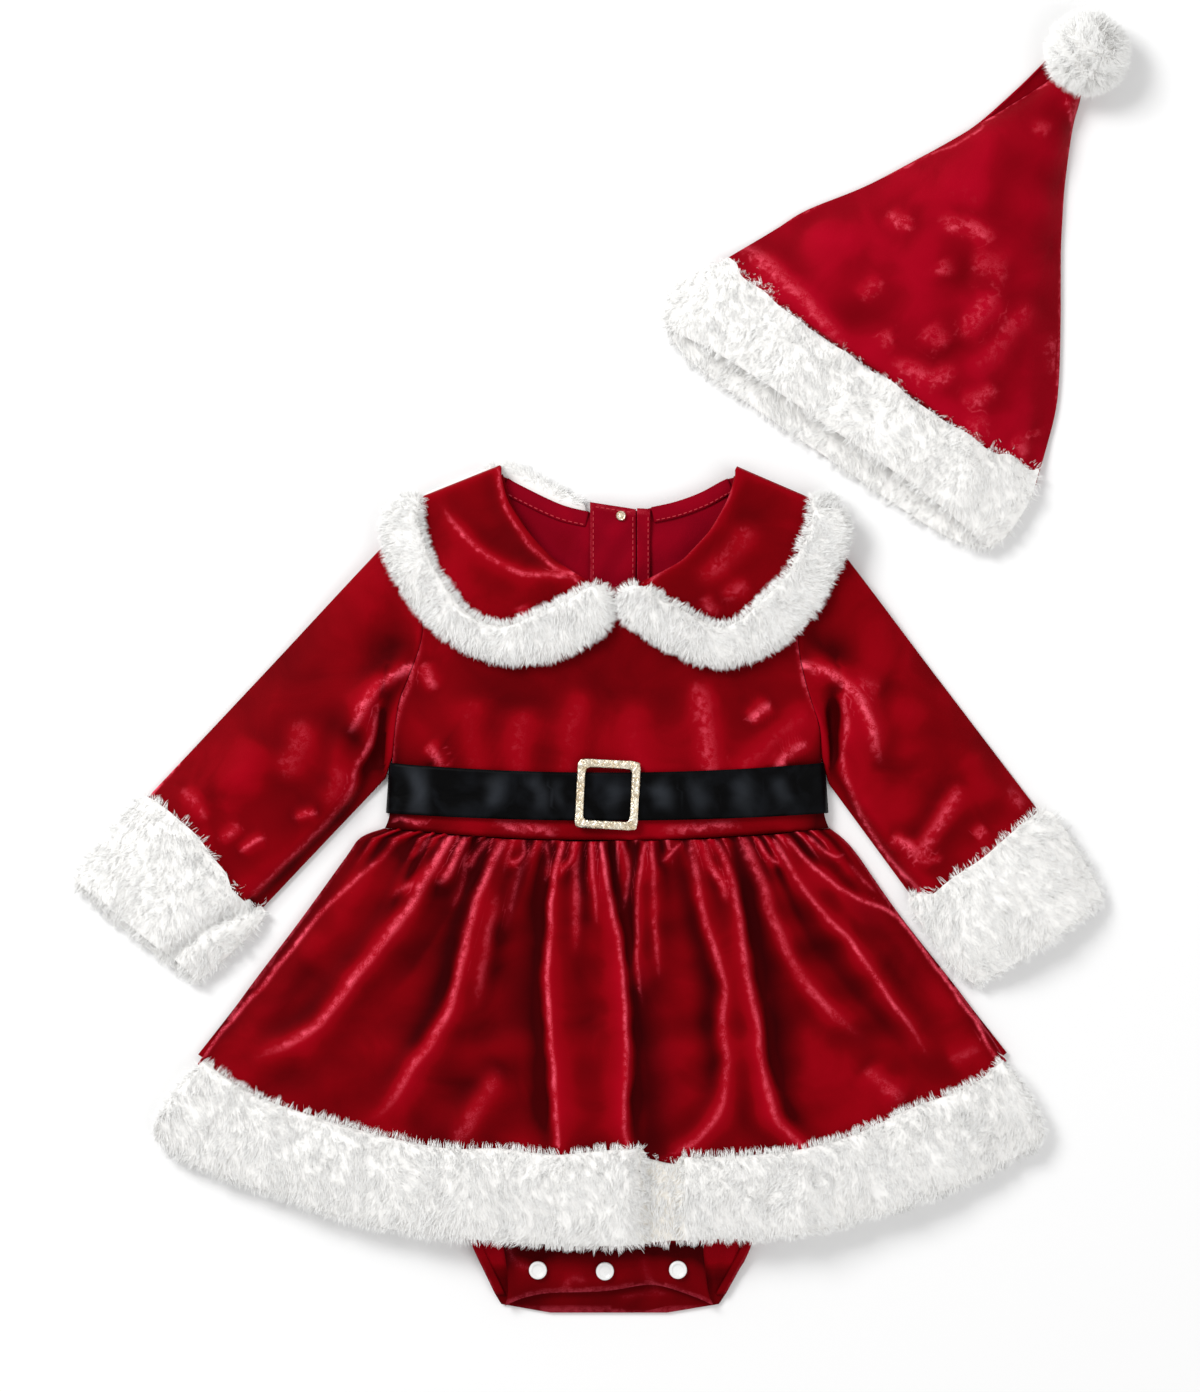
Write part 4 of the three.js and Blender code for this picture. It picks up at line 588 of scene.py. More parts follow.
# A fine grid laid over a plan, s across and v down, which also carries what its finish reads:
# how far it stands over the cloth round it, and the light, the way across it and the shade
def layGrid(name, cols, rows, shape, material, joined=False):
    work = bmesh.new()
    bmesh.ops.create_grid(work, x_segments=cols, y_segments=rows, size=0.5)
    flat = np.array([vert.co[:] for vert in work.verts])
    s, v = flat[:, 0] + 0.5, 0.5 - flat[:, 1]
    x, y, z, *glows = shape(s, v)
    glow = np.zeros((len(x), 3))
    if glows:
        glow[:, :glows[0].shape[1]] = glows[0]
    order = np.rint(v * rows).astype(int) * (cols + 1) + np.rint(s * cols).astype(int)
    grid = np.zeros((rows + 1) * (cols + 1))
    grid[order] = z
    grid = grid.reshape(rows + 1, cols + 1)
    crest = ((grid - blurred(grid, 40)) / 1.6).reshape(-1)[order]
    spots = np.stack([x + shift[0], y + shift[1], np.maximum(z, 0.05)], -1) / 1000
    painted = dict(zip(("crest", "light", "rim", "shade"), (crest, *glow.T)))
    layers = {key: work.verts.layers.float.new(key) for key in painted}
    weave = work.loops.layers.uv.new("weave")
    for k, vert in enumerate(work.verts):
        vert.co = spots[k]
        for key, values in painted.items():
            vert[layers[key]] = float(values[k])
    work.verts.index_update()
    work.normal_update()
    for face in work.faces:
        face.smooth = True
        for loop in face.loops:
            k = loop.vert.index
            loop[weave].uv = (s[k], v[k])
    turnOutwards(work, joined)
    return addPiece(name, work, material)


def settle(piece, nodes):
    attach(piece, "root")
    if nodes:
        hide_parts(*nodes)
    return piece


# Heights of the romper's layers, over the surface it lies on
def beltLift(x, y):
    return 1.9 * (1 - ease((y - 42) / 34)) * (np.abs(x) < 118)


def collarLift(y):
    return 5 * ease((y - 80) / 60)


def backTop(x, y):
    return beltLift(x, y) + collarLift(y) + 1.6


shoulderLine = {"left": (216.2, 0.401), "right": (222.6, -0.431)}  # height over the middle, slope


def bodyBase(x, y):
    half = 117 + 70 * ease((y - 26) / 60)
    (highLeft, slopeLeft), (highRight, slopeRight) = shoulderLine["left"], shoulderLine["right"]
    shoulder = np.where(x < 0, highLeft + slopeLeft * x, highRight + slopeRight * x)
    across = 1 - np.clip(np.abs(x) / half, 0, 1) ** 2.8
    return backTop(x, y) + 0.4 + 9 * across * lerp(0.2, 1, ease((shoulder - 2 - y) / 84))


def bodyTop(x, y):
    folds = creases(bodiceFolds, x, y)[0]
    return bodyBase(x, y) + 1.6 + folds + 0.25 * softWaves(x, y, 46, 3)


# Seams that pieces share
waistSeam = smoothLine([
    (-118.6, 0.6), (-80, -2.6), (-40, -4.8), (0, -5.3), (40, -4.8), (80, -2.6), (118.6, 0.6)])
neckFront = smoothLine([
    (-55, 188.5), (-51.2, 174.6), (-45, 163.8), (-37.4, 152.6), (-27, 142), (-10, 129.6), (4.8, 124.6),
    (20, 129.4), (38, 140.8), (48.4, 151.6), (56.2, 162.2), (63.8, 174.6), (67.2, 187.5)])
armhole = {
    "left": [(-100.6, 169.5), (-98, 148), (-96.5, 122), (-98, 100.7), (-104.4, 82.2), (-109.7, 68.9),
             (-112, 54), (-113.4, 39.4)],
    "right": [(107.6, 169.5), (103.5, 148), (99.5, 122), (101, 98), (104.6, 80), (108.7, 66.3),
              (112.4, 54), (113.4, 39.4)],
}
sideSeam = {
    "left": [(-113.6, 39.4), (-113.8, 36), (-114, 32), (-114.6, 16), (-115.6, 7), (-117.8, 0.9)],
    "right": [(113.6, 39.4), (113.8, 36), (114, 32), (114.6, 16), (115.6, 7), (117.8, 0.9)],
}
neckBack = {
    "left": [(-56.8, 188.5), (-46.1, 182.9), (-24.9, 172.8), (-9, 168.5), (2.8, 167)],
    "right": [(69, 187.5), (60, 184.6), (49.3, 178.6), (36, 173.8), (22.8, 170.7), (3.2, 167)],
}


# Bodice front
def bodiceFrontShape():
    outer = joinLines([
        (smoothLine(armhole["left"]), 0.25), (smoothLine(sideSeam["left"]), 0.09),
        (lambda u: waistSeam(lerp(0.003, 0.997, u)) + np.array([0, 0.3]), 0.32),
        (smoothLine(sideSeam["right"][::-1]), 0.09), (smoothLine(armhole["right"][::-1]), 0.25)])
    plan = spreadBetween(neckFront, outer)

    def shape(s, v):
        x, y = plan(s, v).T
        return x, y, bodyTop(x, y), creases(bodiceFolds, x, y)[1]
    return shape


# Bodice back halves, seen through the neck and from behind
def bodiceBackShape(side):
    sign = -1 if side == "left" else 1
    edge = sign * 0.2 + 3
    slit = straight(np.array([edge, 167]), np.array([edge, -4.8]))
    centre = joinLines([(smoothLine(neckBack[side]), 0.27), (slit, 0.73)])
    outer = joinLines([(smoothLine(armhole[side]), 0.72), (smoothLine(sideSeam[side]), 0.28)])
    (a, c), (b, d) = centre(bothEnds), outer(bothEnds)
    plan = spread(straight(a, b), straight(c, d), centre, outer)

    def shape(s, v):
        x, y = plan(s if sign > 0 else 1 - s, v).T
        wrinkle = 0.35 * softWaves(x, y, 34, 11 + sign) * ease(v * 6) * ease((1 - v) * 6)
        return x, y, np.maximum(backTop(x, y) + wrinkle, lowestTop)
    return shape


# Neck bindings: strips that follow the back of the neck
bindings = {
    "width": 8.5, "lift": 0.8, "puff": 0.5,
    "left": [(-52.5, 186.6), (-46.1, 182.9), (-24.9, 172.8), (-9.6, 168.8)],
    "right": [(23.4, 171.2), (36, 174), (49.3, 178.8), (60, 184.6), (64, 186.4)],
}


def bindingShape(side):
    line = smoothLine(bindings[side])

    def shape(s, v):
        here, ahead = line(s), line(np.clip(s + 0.01, 0, 1)) - line(np.clip(s - 0.01, 0, 1))
        ahead = ahead / np.linalg.norm(ahead, axis=1)[:, None]
        x = here[:, 0] + bindings["width"] * v * ahead[:, 1]
        y = here[:, 1] - bindings["width"] * v * ahead[:, 0]
        puff = bindings["puff"] * np.sin(math.pi * np.clip(v, 0, 1)) ** 0.6
        return x, y, backTop(x, y) + bindings["lift"] + puff
    return shape


# Placket strips down the back opening
plackets = {
    "end": 42, "lift": 1.8,
    "left": {"from": -9.0, "to": 15.4, "top": (173.8, 170.0)},
    "right": {"from": 15.9, "to": 22.9, "top": (170.6, 170.2)},
}


def placketShape(side):
    row = plackets[side]

    def shape(s, v):
        x = lerp(row["from"], row["to"], s)
        y = lerp(lerp(row["top"][0], row["top"][1], s), plackets["end"], v)
        crest = 0.35 * (1 - np.abs(2 * s - 1) ** 6) + 0.2 * softWaves(x, y, 22, 19)
        light = 0.3 * np.exp(-((s - 0.02) / 0.03) ** 2) + 0.3 * np.exp(-((v - 0.01) / 0.012) ** 2)
        return x, y, backTop(x, y) + plackets["lift"] + crest, edgeLight(light)
    return shape


# Sleeves: the grid runs over the front from left to right, then back underneath
sleeveCut = {
    "left": {"end": (-117.6, 27.4), "shift": -0.35, "into": (-2.8, -3.5),
             "cuff": [(-242.2, 19.8), (-226, 6), (-213, -4.6), (-204.6, -17), (-196, -27), (-182.4, -40.4)],
             "folds": leftSleeveFolds,
             "hollow": [([(-121, 72), (-118, 50), (-124, 30)], 5.5, 3.6, 4.6, 0, 1, "both")]},
    "right": {"end": (117.9, 24.4), "shift": 0.35, "into": (2.5, -3.7),
              "cuff": [(229.5, 10.4), (218, 4), (204, -7.6), (190, -18.4), (176, -28), (161.4, -34.4)],
             "folds": rightSleeveFolds,
             "hollow": [([(121.5, 72), (119, 50), (122, 34)], 5.5, 4.6, 3.6, 0, 1, "both")]},
}


def roundAbout(s):
    frontShare = 0.68
    front = s <= frontShare
    turn = math.pi * np.where(front, s / frontShare, (s - frontShare) / (1 - frontShare))
    return np.where(front, 0.5 - 0.5 * np.cos(turn), 0.5 + 0.5 * np.cos(turn)), front


# Rounded sides of a tube seen from above, from 0 at its edges to 1 inside them
def bowed(u, power):
    return np.sqrt(np.clip(1 - np.abs(2 * u - 1) ** power, 0, 1))


def sleeveShape(side):
    cut = sleeveCut[side]
    hole = smoothLine([(x + cut["shift"], y) for x, y in armhole[side]])
    underArm = straight(hole(bothEnds)[1], np.array(cut["end"]))
    seam = joinLines([(hole, 11 / 12), (underArm, 1 / 12)])
    wrist = smoothLine([(x + cut["into"][0], y + cut["into"][1]) for x, y in cut["cuff"]])
    plan = spreadBetween(seam, wrist)

    def shape(s, v):
        u, front = roundAbout(s)
        x, y = plan(u, v).T
        floor = collarLift(y)
        dome = floor + 4.4 + 9.1 * (1 - np.abs(2 * u - 1) ** 2.6)
        joint = np.maximum(bodyTop(x, y), floor + 4.4)
        high, light = creases(cut["folds"], x, y)
        hollow = creases(cut["hollow"], x, y)[0]
        fade = ease(4 * u) * ease(8 * (1 - u)) * ease(7 * v)
        roof = lerp(joint, dome, ease((v - 0.08) / 0.3)) + high * fade - hollow * ease(5 * v)
        roof = roof + 0.3 * softWaves(x, y, 40, 5) * fade
        bow = bowed(u, 6)
        top = floor + 2.2 + (roof - floor - 2.2) * bow
        under = floor + 2.2 - 2.2 * bow
        return x, y, np.where(front, top, under), light * front[:, None]
    return shape


# Skirt
skirtSide = {
    "left": [
        (-119, 0.2), (-130.9, -4.2), (-138.9, -14.8), (-162.7, -47.7), (-194.5, -90.1), (-217.3, -120.4)],
    "right": [
        (119, 0.2), (126.1, -5.3), (134.1, -14.8), (155.3, -45.1), (192.4, -92.8), (212.5, -119.4)],
}
hemSeam = smoothLine([
    (-217.3, -120.4), (-189.2, -138.9), (-162.7, -148.4), (-130.9, -157.9), (-88.5, -167), (-56.7, -167.5),
    (-27.6, -170.6), (12.2, -167.6), (38.7, -171.6), (81.1, -170.4), (123.5, -162.7), (160.6, -146.8),
    (192.4, -135.2), (212.5, -119.4)])
hemLow = smoothLine([
    (-241.2, -165.9), (-215.7, -181.3), (-173.3, -196.1), (-130.9, -209.9), (-88.5, -217.3), (-24.9, -222.1),
    (12.2, -222.1), (44, -218.9), (91.7, -217.3), (134.1, -208.8), (176.5, -195), (213.6, -177.6),
    (232.1, -167)])
hemSide = {
    "left": smoothLine([(-217.3, -120.4), (-233, -136), (-243.4, -156), (-241.2, -165.9)]),
    "right": smoothLine([(212.5, -119.4), (227, -137), (234.6, -156), (232.1, -167)]),
}
skirtHalfRows = {
    "left": [(y, -x) for x, y in skirtSide["left"] + [(-233, -136), (-243.4, -156)]],
    "right": [(y, x) for x, y in skirtSide["right"] + [(227, -137), (234.6, -156)]],
}


def skirtHalf(x, y):
    left, right = (table(skirtHalfRows[side], y)[0] for side in ("left", "right"))
    return np.where(x < 0, left, right)


def skirtBackLift(y):
    return 1.5 * ease((-100 - y) / 18)


def skirtBase(x, y):
    crown = lerp(10.9, 13, np.clip(-y / 165, 0, 1))
    return skirtBackLift(y) + 2.0 + crown * (1 - np.clip(np.abs(x) / skirtHalf(x, y), 0, 1) ** 3)


# Gathers under the waist seam: their height, the light on their flanks and the shade between them
gatherLook = {"waistHalf": 118, "pitch": 8.3, "height": 2.8, "light": 0.66, "shade": 0.85}


def gathers(x, y):
    along = x / skirtHalf(x, y) * gatherLook["waistHalf"]
    depth = np.maximum(-4 - y, 0)
    swing = (along + 2.4 * np.sin(along / 11) + 1.2 * np.sin(along / 4.3 + 1)) / gatherLook["pitch"]
    wave = (0.5 + 0.5 * np.cos(2 * math.pi * swing)) ** 0.8
    reach = 11 + 5 * np.sin(along / 6.1 + 2) + 4 * np.sin(along / 2.9)
    inside = ease((gatherLook["waistHalf"] - np.abs(along)) / 8)
    pucker = wave * np.exp(-depth / reach) * inside
    flank = np.exp(-((swing % 1 - 0.86) / 0.07) ** 2) * np.exp(-(depth / (0.8 * reach)) ** 2) * inside
    slot = (1 - wave) ** 1.4 * np.exp(-(depth / (0.9 * reach)) ** 1.5) * inside
    return gatherLook["height"] * pucker, gatherLook["light"] * flank, gatherLook["shade"] * slot


def skirtPlan(gap):
    bottom = lambda u: hemSeam(u) + np.array([0, gap])
    corners = zip(("left", "right"), waistSeam(bothEnds), bottom(bothEnds))
    sides = [smoothLine([tuple(high)] + skirtSide[side][1:-1] + [tuple(low)]) for side, high, low in corners]
    return spread(waistSeam, bottom, *sides)


# How far in from the side seams, as a share that is 1 from a fourteenth of the width on
def fromSides(s):
    return ease(np.minimum(s, 1 - s) * 14)


def skirtFrontShape():
    plan = skirtPlan(-4)

    def shape(s, v):
        x, y = plan(s, v).T
        high, light = creases(skirtFolds, x, y)
        pucker, glow, slot = gathers(x, y)
        light[:, 2] = np.maximum(light[:, 2], slot)
        high = high * lerp(1, 0.42, ease((-146 - y) / 24))
        z = skirtBase(x, y) + 1.6 + pucker + (high + 0.35 * softWaves(x, y, 38, 8)) * fromSides(s)
        # painted highlight along the side edges
        rim = 0.45 * np.exp(-(np.minimum(s, 1 - s) / 0.004) ** 2)
        return x, y, z, brighter(brighter(light, glow), rim)
    return shape


def skirtBackShape():
    plan = skirtPlan(0.9)

    def shape(s, v):
        x, y = plan(s, v).T
        high, light = creases(skirtBackFolds, x, y)
        edge = fromSides(s) * ease(10 * v) * ease(8 * (1 - v))
        z = skirtBackLift(y) + 1.6 + (high + 0.2 * softWaves(x, y, 30, 9)) * edge
        return x, y, np.maximum(z, lowestTop), light * 0.4
    return shape


skirtBackFolds = [
    ([(-88, -26), (-122, -70), (-160, -112)], 2.0, 6, 8, 0.5, 2.5, "both"),
    ([(-52, -24), (-66, -80), (-80, -140)], 2.0, 5, 9, 0.5, 2.0, "both"),
    ([(-20, -26), (-24, -84), (-30, -150)], 2.0, 8, 5, 0.5, 2.0, "both"),
    ([(16, -24), (20, -80), (18, -148)], 2.0, 9, 6, 0.5, 2.5, "both"),
    ([(50, -26), (62, -84), (74, -146)], 2.0, 6, 8, 0.5, 2.0, "both"),
    ([(86, -24), (116, -66), (150, -108)], 2.0, 8, 6, 0.5, 2.5, "both"),
]

# Brief under the skirt: height down it, left edge, right edge, height at the side and in the middle
briefFrontRows = [
    (-9, -107, 107, 3.6, 11), (-30, -110, 110, 5.5, 11.2), (-70, -111, 111, 5.5, 11.6),
    (-110, -111, 111, 5.6, 12), (-135, -100, 101, 6.9, 12.3), (-155, -86, 87, 8.6, 12.5),
    (-190, -66, 64, 10.6, 12.6), (-212, -58, 53, 11.4, 12.2), (-220, -55, 51, 6.3, 6.8),
    (-230, -53, 52.4, 5.6, 6.2), (-238, -52.6, 54, 5.0, 5.4), (-243, -54, 56.4, 4.6, 4.8)]
briefBackRows = [
    (-9, -110, 110, 1.9, 1.9), (-30, -112, 112, 3.9, 3.9), (-70, -113, 113, 3.9, 3.9),
    (-110, -113, 113, 3.9, 3.9), (-135, -106, 107, 3.9, 3.9), (-152, -99, 101, 4.7, 4.7),
    (-190, -83, 86, 4.8, 4.8), (-223, -70.5, 75.6, 4.8, 4.8), (-236, -64.6, 69, 1.6, 1.6),
    (-247, -59.4, 63, 0.8, 0.8), (-252, -56.6, 60, 0.5, 0.5), (-255, -52, 55, 0.4, 0.4),
    (-256.4, -44, 46, 0.4, 0.4), (-257, -30, 32, 0.4, 0.4)]


def briefShape(rows, wavy):
    rows = smoothLine(rows, even=False)(np.linspace(0, 1, 120)).tolist()

    def shape(s, v):
        y = lerp(rows[0][0], rows[-1][0], v)
        left, right, side, centre = table(rows, y)
        x = lerp(left, right, s)
        arch = 9.5 * np.abs(2 * s - 1) ** 3.2
        arch = arch + 2.2 * np.exp(-((x + 12) / 24) ** 2) - 2.4 * np.exp(-((x - 24) / 14) ** 2)
        y = y - wavy * ease((v - 0.88) * 8) * arch
        z = side + (centre - side) * (1 - np.abs(2 * s - 1) ** 3) + 1.2
        high, light = creases(briefFolds, x, y)
        fade = ease(12 * s) * ease(12 * (1 - s)) * ease(4 * (1 - v) + 0.2) * (1 if wavy else 0.4)
        # painted highlight along the lower edge
        rim = 0.4 * np.exp(-((1 - v) / 0.005) ** 2)
        return x, y, z + (high + 0.3 * softWaves(x, y, 26, 15)) * fade, brighter(light, rim)
    return shape


legBinding = {"width": 5.4, "lift": 2.4, "puff": 0.45, "light": 0.22}


def legBindingShape(side):
    rows = briefBackRows[4:10]
    litAt = 0.1 if side == "left" else 0.9

    def shape(s, v):
        y = lerp(rows[0][0], rows[-1][0], v)
        left, right, height, _ = table(rows, y)
        x = left + legBinding["width"] * s if side == "left" else right - legBinding["width"] * (1 - s)
        puff = legBinding["puff"] * np.sin(math.pi * s) ** 0.6
        shine = legBinding["light"] * np.exp(-((s - litAt) / 0.16) ** 2)
        return x, y, height + legBinding["lift"] + puff, edgeLight(shine)
    return shape


# Belt: a ribbon all round the waist
belt = {"low": 5.3, "droop": 3.7, "width": 25.4, "flare": 1.4, "half": (117.6, 115.8), "backIn": 0.018}
beltCreases = [
    ([(-103, 36), (-99, 22), (-100, 8)], 1.0, 5, 6, 0.9, 5, "none"),
    ([(-62, 32), (-58, 20), (-64, 10)], 0.7, 6, 6, 0.5, 5, "both"),
    ([(-42, 30), (-34, 18), (-38, 8)], 0.8, 5, 7, 0.4, 4, "both"),
    ([(-24, 30), (-27, 20), (-22, 10)], 0.5, 5, 5, 0.2, 3, "both"),
    ([(24, 28), (30, 18), (28, 8)], 0.8, 5, 6, 0.6, 5, "both"),
    ([(46, 30), (48, 18), (54, 8)], 0.6, 5, 6, 0.4, 5, "both"),
    ([(66, 30), (72, 20), (68, 8)], 0.8, 6, 6, 0.6, 6, "both"),
    ([(88, 32), (92, 20), (96, 10)], 0.7, 5, 6, 0.35, 4, "both"),
    ([(0, 28), (4, 18), (-2, 8)], 0.5, 5, 5, 0.25, 4, "both"),
]


def beltShape(s, v):
    u, front = roundAbout(s)
    half = lerp(*belt["half"], v)
    x = lerp(-half, half, u) * np.where(front, 1, 1 - belt["backIn"] * np.sqrt(1 - (2 * u - 1) ** 2))
    y = belt["low"] + belt["width"] * v + (belt["droop"] + belt["flare"] * v) * (x / 118) ** 2
    high, light = creases(beltCreases, x, y)
    inner = np.sin(math.pi * np.clip(v, 0, 1)) ** 0.5
    bow = bowed(u, 70)
    top = 1.0 + (bodyBase(x, y) + 4.7 + high * 0.9 * inner - 1.0) * bow
    under = 1.4 - 0.2 * bow
    return x, y, np.where(front, top, under), light * (inner * front)[:, None]


# Collar rows from the centre front to the shoulder, then over it: neck edge, join, fur edge
collarRows = {
    "left": [
        (3.0, 123.5, 3.9, 122.8, 4.2, 119.3), (-4, 130.6, -3.5, 130.2, 0.5, 106),
        (-10.1, 132, -9, 131, -6, 98.5), (-18, 136.5, -22.3, 123.5, -24.9, 88),
        (-27.6, 143.1, -40.8, 114.5, -46.1, 85.3), (-33.5, 148.6, -53.5, 109.2, -67.3, 90.1),
        (-38.2, 153.7, -68, 112.5, -88.5, 102.3), (-42.5, 159, -77.9, 121.9, -104.4, 118.2),
        (-46.6, 165, -90.1, 140.5, -116.1, 137.8), (-52, 174, -96.5, 158, -121.4, 157),
        (-55.2, 184.6, -98.2, 169, -118.5, 168.5)],
    "right": [
        (6.6, 123.5, 5.7, 122.8, 5.4, 119.3), (11.2, 130, 10.7, 129.6, 8.6, 111),
        (18.6, 131.6, 17.6, 130.8, 15, 103.6), (28, 136, 31.6, 123, 33.4, 92.6),
        (38.7, 142, 44, 116, 50.4, 85.4), (43.8, 146.8, 56.4, 109.2, 69, 85.6),
        (49.3, 152.6, 67, 111.6, 91.7, 95.4), (53.6, 157.4, 78, 121, 110.2, 111.3),
        (57.6, 163.4, 92.8, 135.6, 122.4, 133.6), (63.4, 174, 102.6, 155, 130.9, 154.6),
        (67.2, 184.6, 107, 168.6, 127.6, 167.6)],
}
# Over the shoulder's fold: how far out, share of the front's height, tilt of the fur in degrees
shoulderTurn = [(-2.4, 1, 10), (-0.7, 0.86, 50), (0, 0.5, 90), (-0.7, 0.14, 130), (-2.4, 0, 180)]
shoulderFold = {
    "left": (-56.7, 193.5, -99.1, 176.5, -114.5, 174), "right": (68.9, 192.9, 108.1, 176, 123.5, 174),
}
backFurRows = {
    "left": [
        (-98, 177, -113, 164), (-92, 182.4, -105, 156), (-79, 187.8, -84, 160), (-65, 193.6, -68, 165),
        (-57, 196.6, -58, 167), (-50, 196, -49, 168), (-41, 191.4, -43, 166), (-25, 182.8, -28, 159),
        (-9.5, 175.4, -12, 152)],
    "right": [
        (105.8, 166.8, 121.6, 164), (100.6, 159.6, 114, 146), (89, 163, 92, 141), (69, 176, 72, 153),
        (49, 171, 52, 148.6), (36, 167.6, 38, 145.6), (23, 164.6, 24, 142.6)],
}


# The shoulder's fold, and the way out over it
def shoulderOver(side):
    fold = np.array(shoulderFold[side])
    along = fold[2:4] - fold[:2]
    sign = -1 if side == "left" else 1
    return fold, np.array([-sign * along[1], sign * along[0]]) / np.linalg.norm(along)


def collarShape(side):
    fold, out = shoulderOver(side)
    rows = [[*row[:4], 1.0] for row in collarRows[side][1:]]
    rows += [[*(fold[:2] + out * away), *(fold[2:4] + out * away), share] for away, share, _ in shoulderTurn]
    line = smoothLine(rows, even=False)

    def shape(s, v):
        neckX, neckY, joinX, joinY, share = line(v).T
        q = s if side == "right" else 1 - s
        length = np.hypot(neckX - joinX, neckY - joinY)
        reach = q * (1 + 2.5 / np.maximum(length, 4))
        x, y = lerp(neckX, joinX, reach), lerp(neckY, joinY, reach)
        share = np.clip(share, 0, 1)
        high, light = creases(collarFolds, x, y)
        crest = bodyTop(x, np.minimum(y, 188)) + 2.4 + high * ease(6 * v)
        roll = 1.4 * np.exp(-(q * length / 5) ** 2) * ease(4 * v) * (share > 0.9)
        return x, y, np.maximum(share * (crest + roll), 1.4), light * share[:, None]
    return shape


# Closed rolls under the fur: the grid runs along s, and v goes round the section
def furSection(v, squareness=0.75):
    turn = 2 * math.pi * v
    return 0.5 - 0.5 * signedPower(np.cos(turn), squareness), signedPower(np.sin(turn), squareness)


def collarFurShape(side):
    fold, out = shoulderOver(side)
    rows = [[*row[2:], 1.0, 0.0, 9 * (0.45 + 0.55 * ease(k / 1.5))] for k, row in enumerate(collarRows[side])]
    for away, share, tilt in shoulderTurn:
        step = out * (away - 1.9)
        rows.append([*(fold[2:4] + step), *(fold[4:6] + step), share, tilt, lerp(4.6, 6.3, share)])
    rows += [[*row, 0.0, 180.0, 4.6] for row in backFurRows[side]]
    line = smoothLine(rows, even=False)

    def shape(s, v):
        joinX, joinY, furX, furY, share, tilt, depth = line(s).T
        across, up = furSection(v)
        if side == "right":
            across = 1 - across
        ends = bowed(s, 40)
        q = lerp(0.07, 0.86, lerp(0.5, across, 0.3 + 0.7 * ends))
        x, y = lerp(joinX, furX, q), lerp(joinY, furY, q)
        share, tilt, depth = np.clip(share, 0, 1), np.radians(tilt), np.maximum(depth - 2.6, 1.6)
        base = lerp(4.4, bodyTop(x, np.minimum(y, 188)) + 1.3, share)
        rise = (0.5 + 0.5 * up * ends) * depth
        lump = 0.5 * softWaves(x * 1.3, y, 17, 21)
        x = x + out[0] * np.sin(tilt) * rise
        y = y + out[1] * np.sin(tilt) * rise
        return x, y, base + np.cos(tilt) * (rise + lump * (up > 0) * ends)
    return shape


def hemFurShape(front):
    plan = spread(hemSeam, hemLow, hemSide["left"], hemSide["right"])

    def shape(s, v):
        across, up = furSection(v)
        ends = bowed(s, 60)
        x, y = plan(lerp(0.008, 0.992, s), lerp(-0.03 if front else 0.05, 0.93, across)).T
        valley = np.exp(-((x - 29) / 10.5) ** 6)  # where the hem dips between two folds
        if front:
            fold = creases(skirtFolds, x, np.maximum(y, -168))[0]
            low = np.maximum(4.9, skirtBase(x, y) - 1.5 + 0.5 * fold)
            high = low + 6.8 + 1.6 * (1 - np.abs(2 * across - 1) ** 2)
            high = high - 5.6 * valley + 0.7 * softWaves(x, y, 30, 31)
        else:
            low, high = 0.3 + 0 * x, 3.6 + 0 * x
        middle, half = (low + high) / 2, (high - low) / 2
        return x, y, middle + half * up * ends, edgeLight(valley * front)
    return shape


# Cuffs and brim: s runs round the tube, v runs down the outside and back up the inside
cuffCut = {
    "left": {
        "seam": [(-247.6, 19.6), (-233, 10.8), (-216.6, -2.4), (-206.6, -16), (-191, -33), (-178.6, -46)],
        "top": [(-247.6, 19.6), (-262, 6), (-274, -8.6), (-284, -24), (-282.6, -30)],
        "low": [(-178.6, -46), (-184.6, -54), (-202.5, -71.6), (-217.6, -84.6)],
        "end": [(-282.6, -30), (-266, -47.7), (-236.9, -72), (-217.6, -84.6)],
        "axis": (-0.62, -0.78), "short": 5.5,
        "folds": [([(-186, -40), (-213, -52), (-236, -72)], -5.0, 4, 4, 0, 1, "none")]},
    "right": {
        "seam": [(234, 12.2), (220, 3.4), (199, -13), (177, -28.2), (158.2, -36.6)],
        "top": [(234, 12.2), (240, 9), (250.7, -8), (265, -33), (263.6, -38.4)],
        "low": [(158.2, -36.6), (158.6, -42), (179.1, -71.6), (195.6, -86.4)],
        "end": [(263.6, -38.4), (229.5, -63.6), (195.6, -86.4)],
        "axis": (0.55, -0.83), "short": 0.0, "folds": []},
}


def tubeFur(front, back, roof, floor, walls, rim):
    def shape(s, v):
        u, isFront = roundAbout(s)
        turn = 2 * math.pi * v
        down = 0.5 - 0.5 * signedPower(np.cos(turn), 0.8)
        inward = 0.5 - 0.5 * signedPower(np.sin(turn), 0.45)
        down = lerp(rim[0], rim[1], down)
        inset = lerp(walls["edge"], walls["edge"] + walls["side"], inward)
        a, b = front(np.zeros_like(u), down), front(np.ones_like(u), down)
        width = np.hypot(*(a - b).T)
        squeezed = 0.5 + (u - 0.5) * (1 - 2 * inset / width)
        bow = bowed(u, 5)
        x, y = lerp(back(squeezed, down), front(squeezed, down), (bow * isFront)[:, None]).T
        middle = roof(x, y, 0.08 + 0 * u, down) * 0.42
        high = roof(x, y, u, down) - walls["pile"] - inward * walls["roof"]
        low = floor + walls["pile"] * 0.4 + inward * walls["floor"]
        z = np.where(isFront, middle + (high - middle) * bow, middle + (low - middle) * bow)
        return x, y, z
    return shape


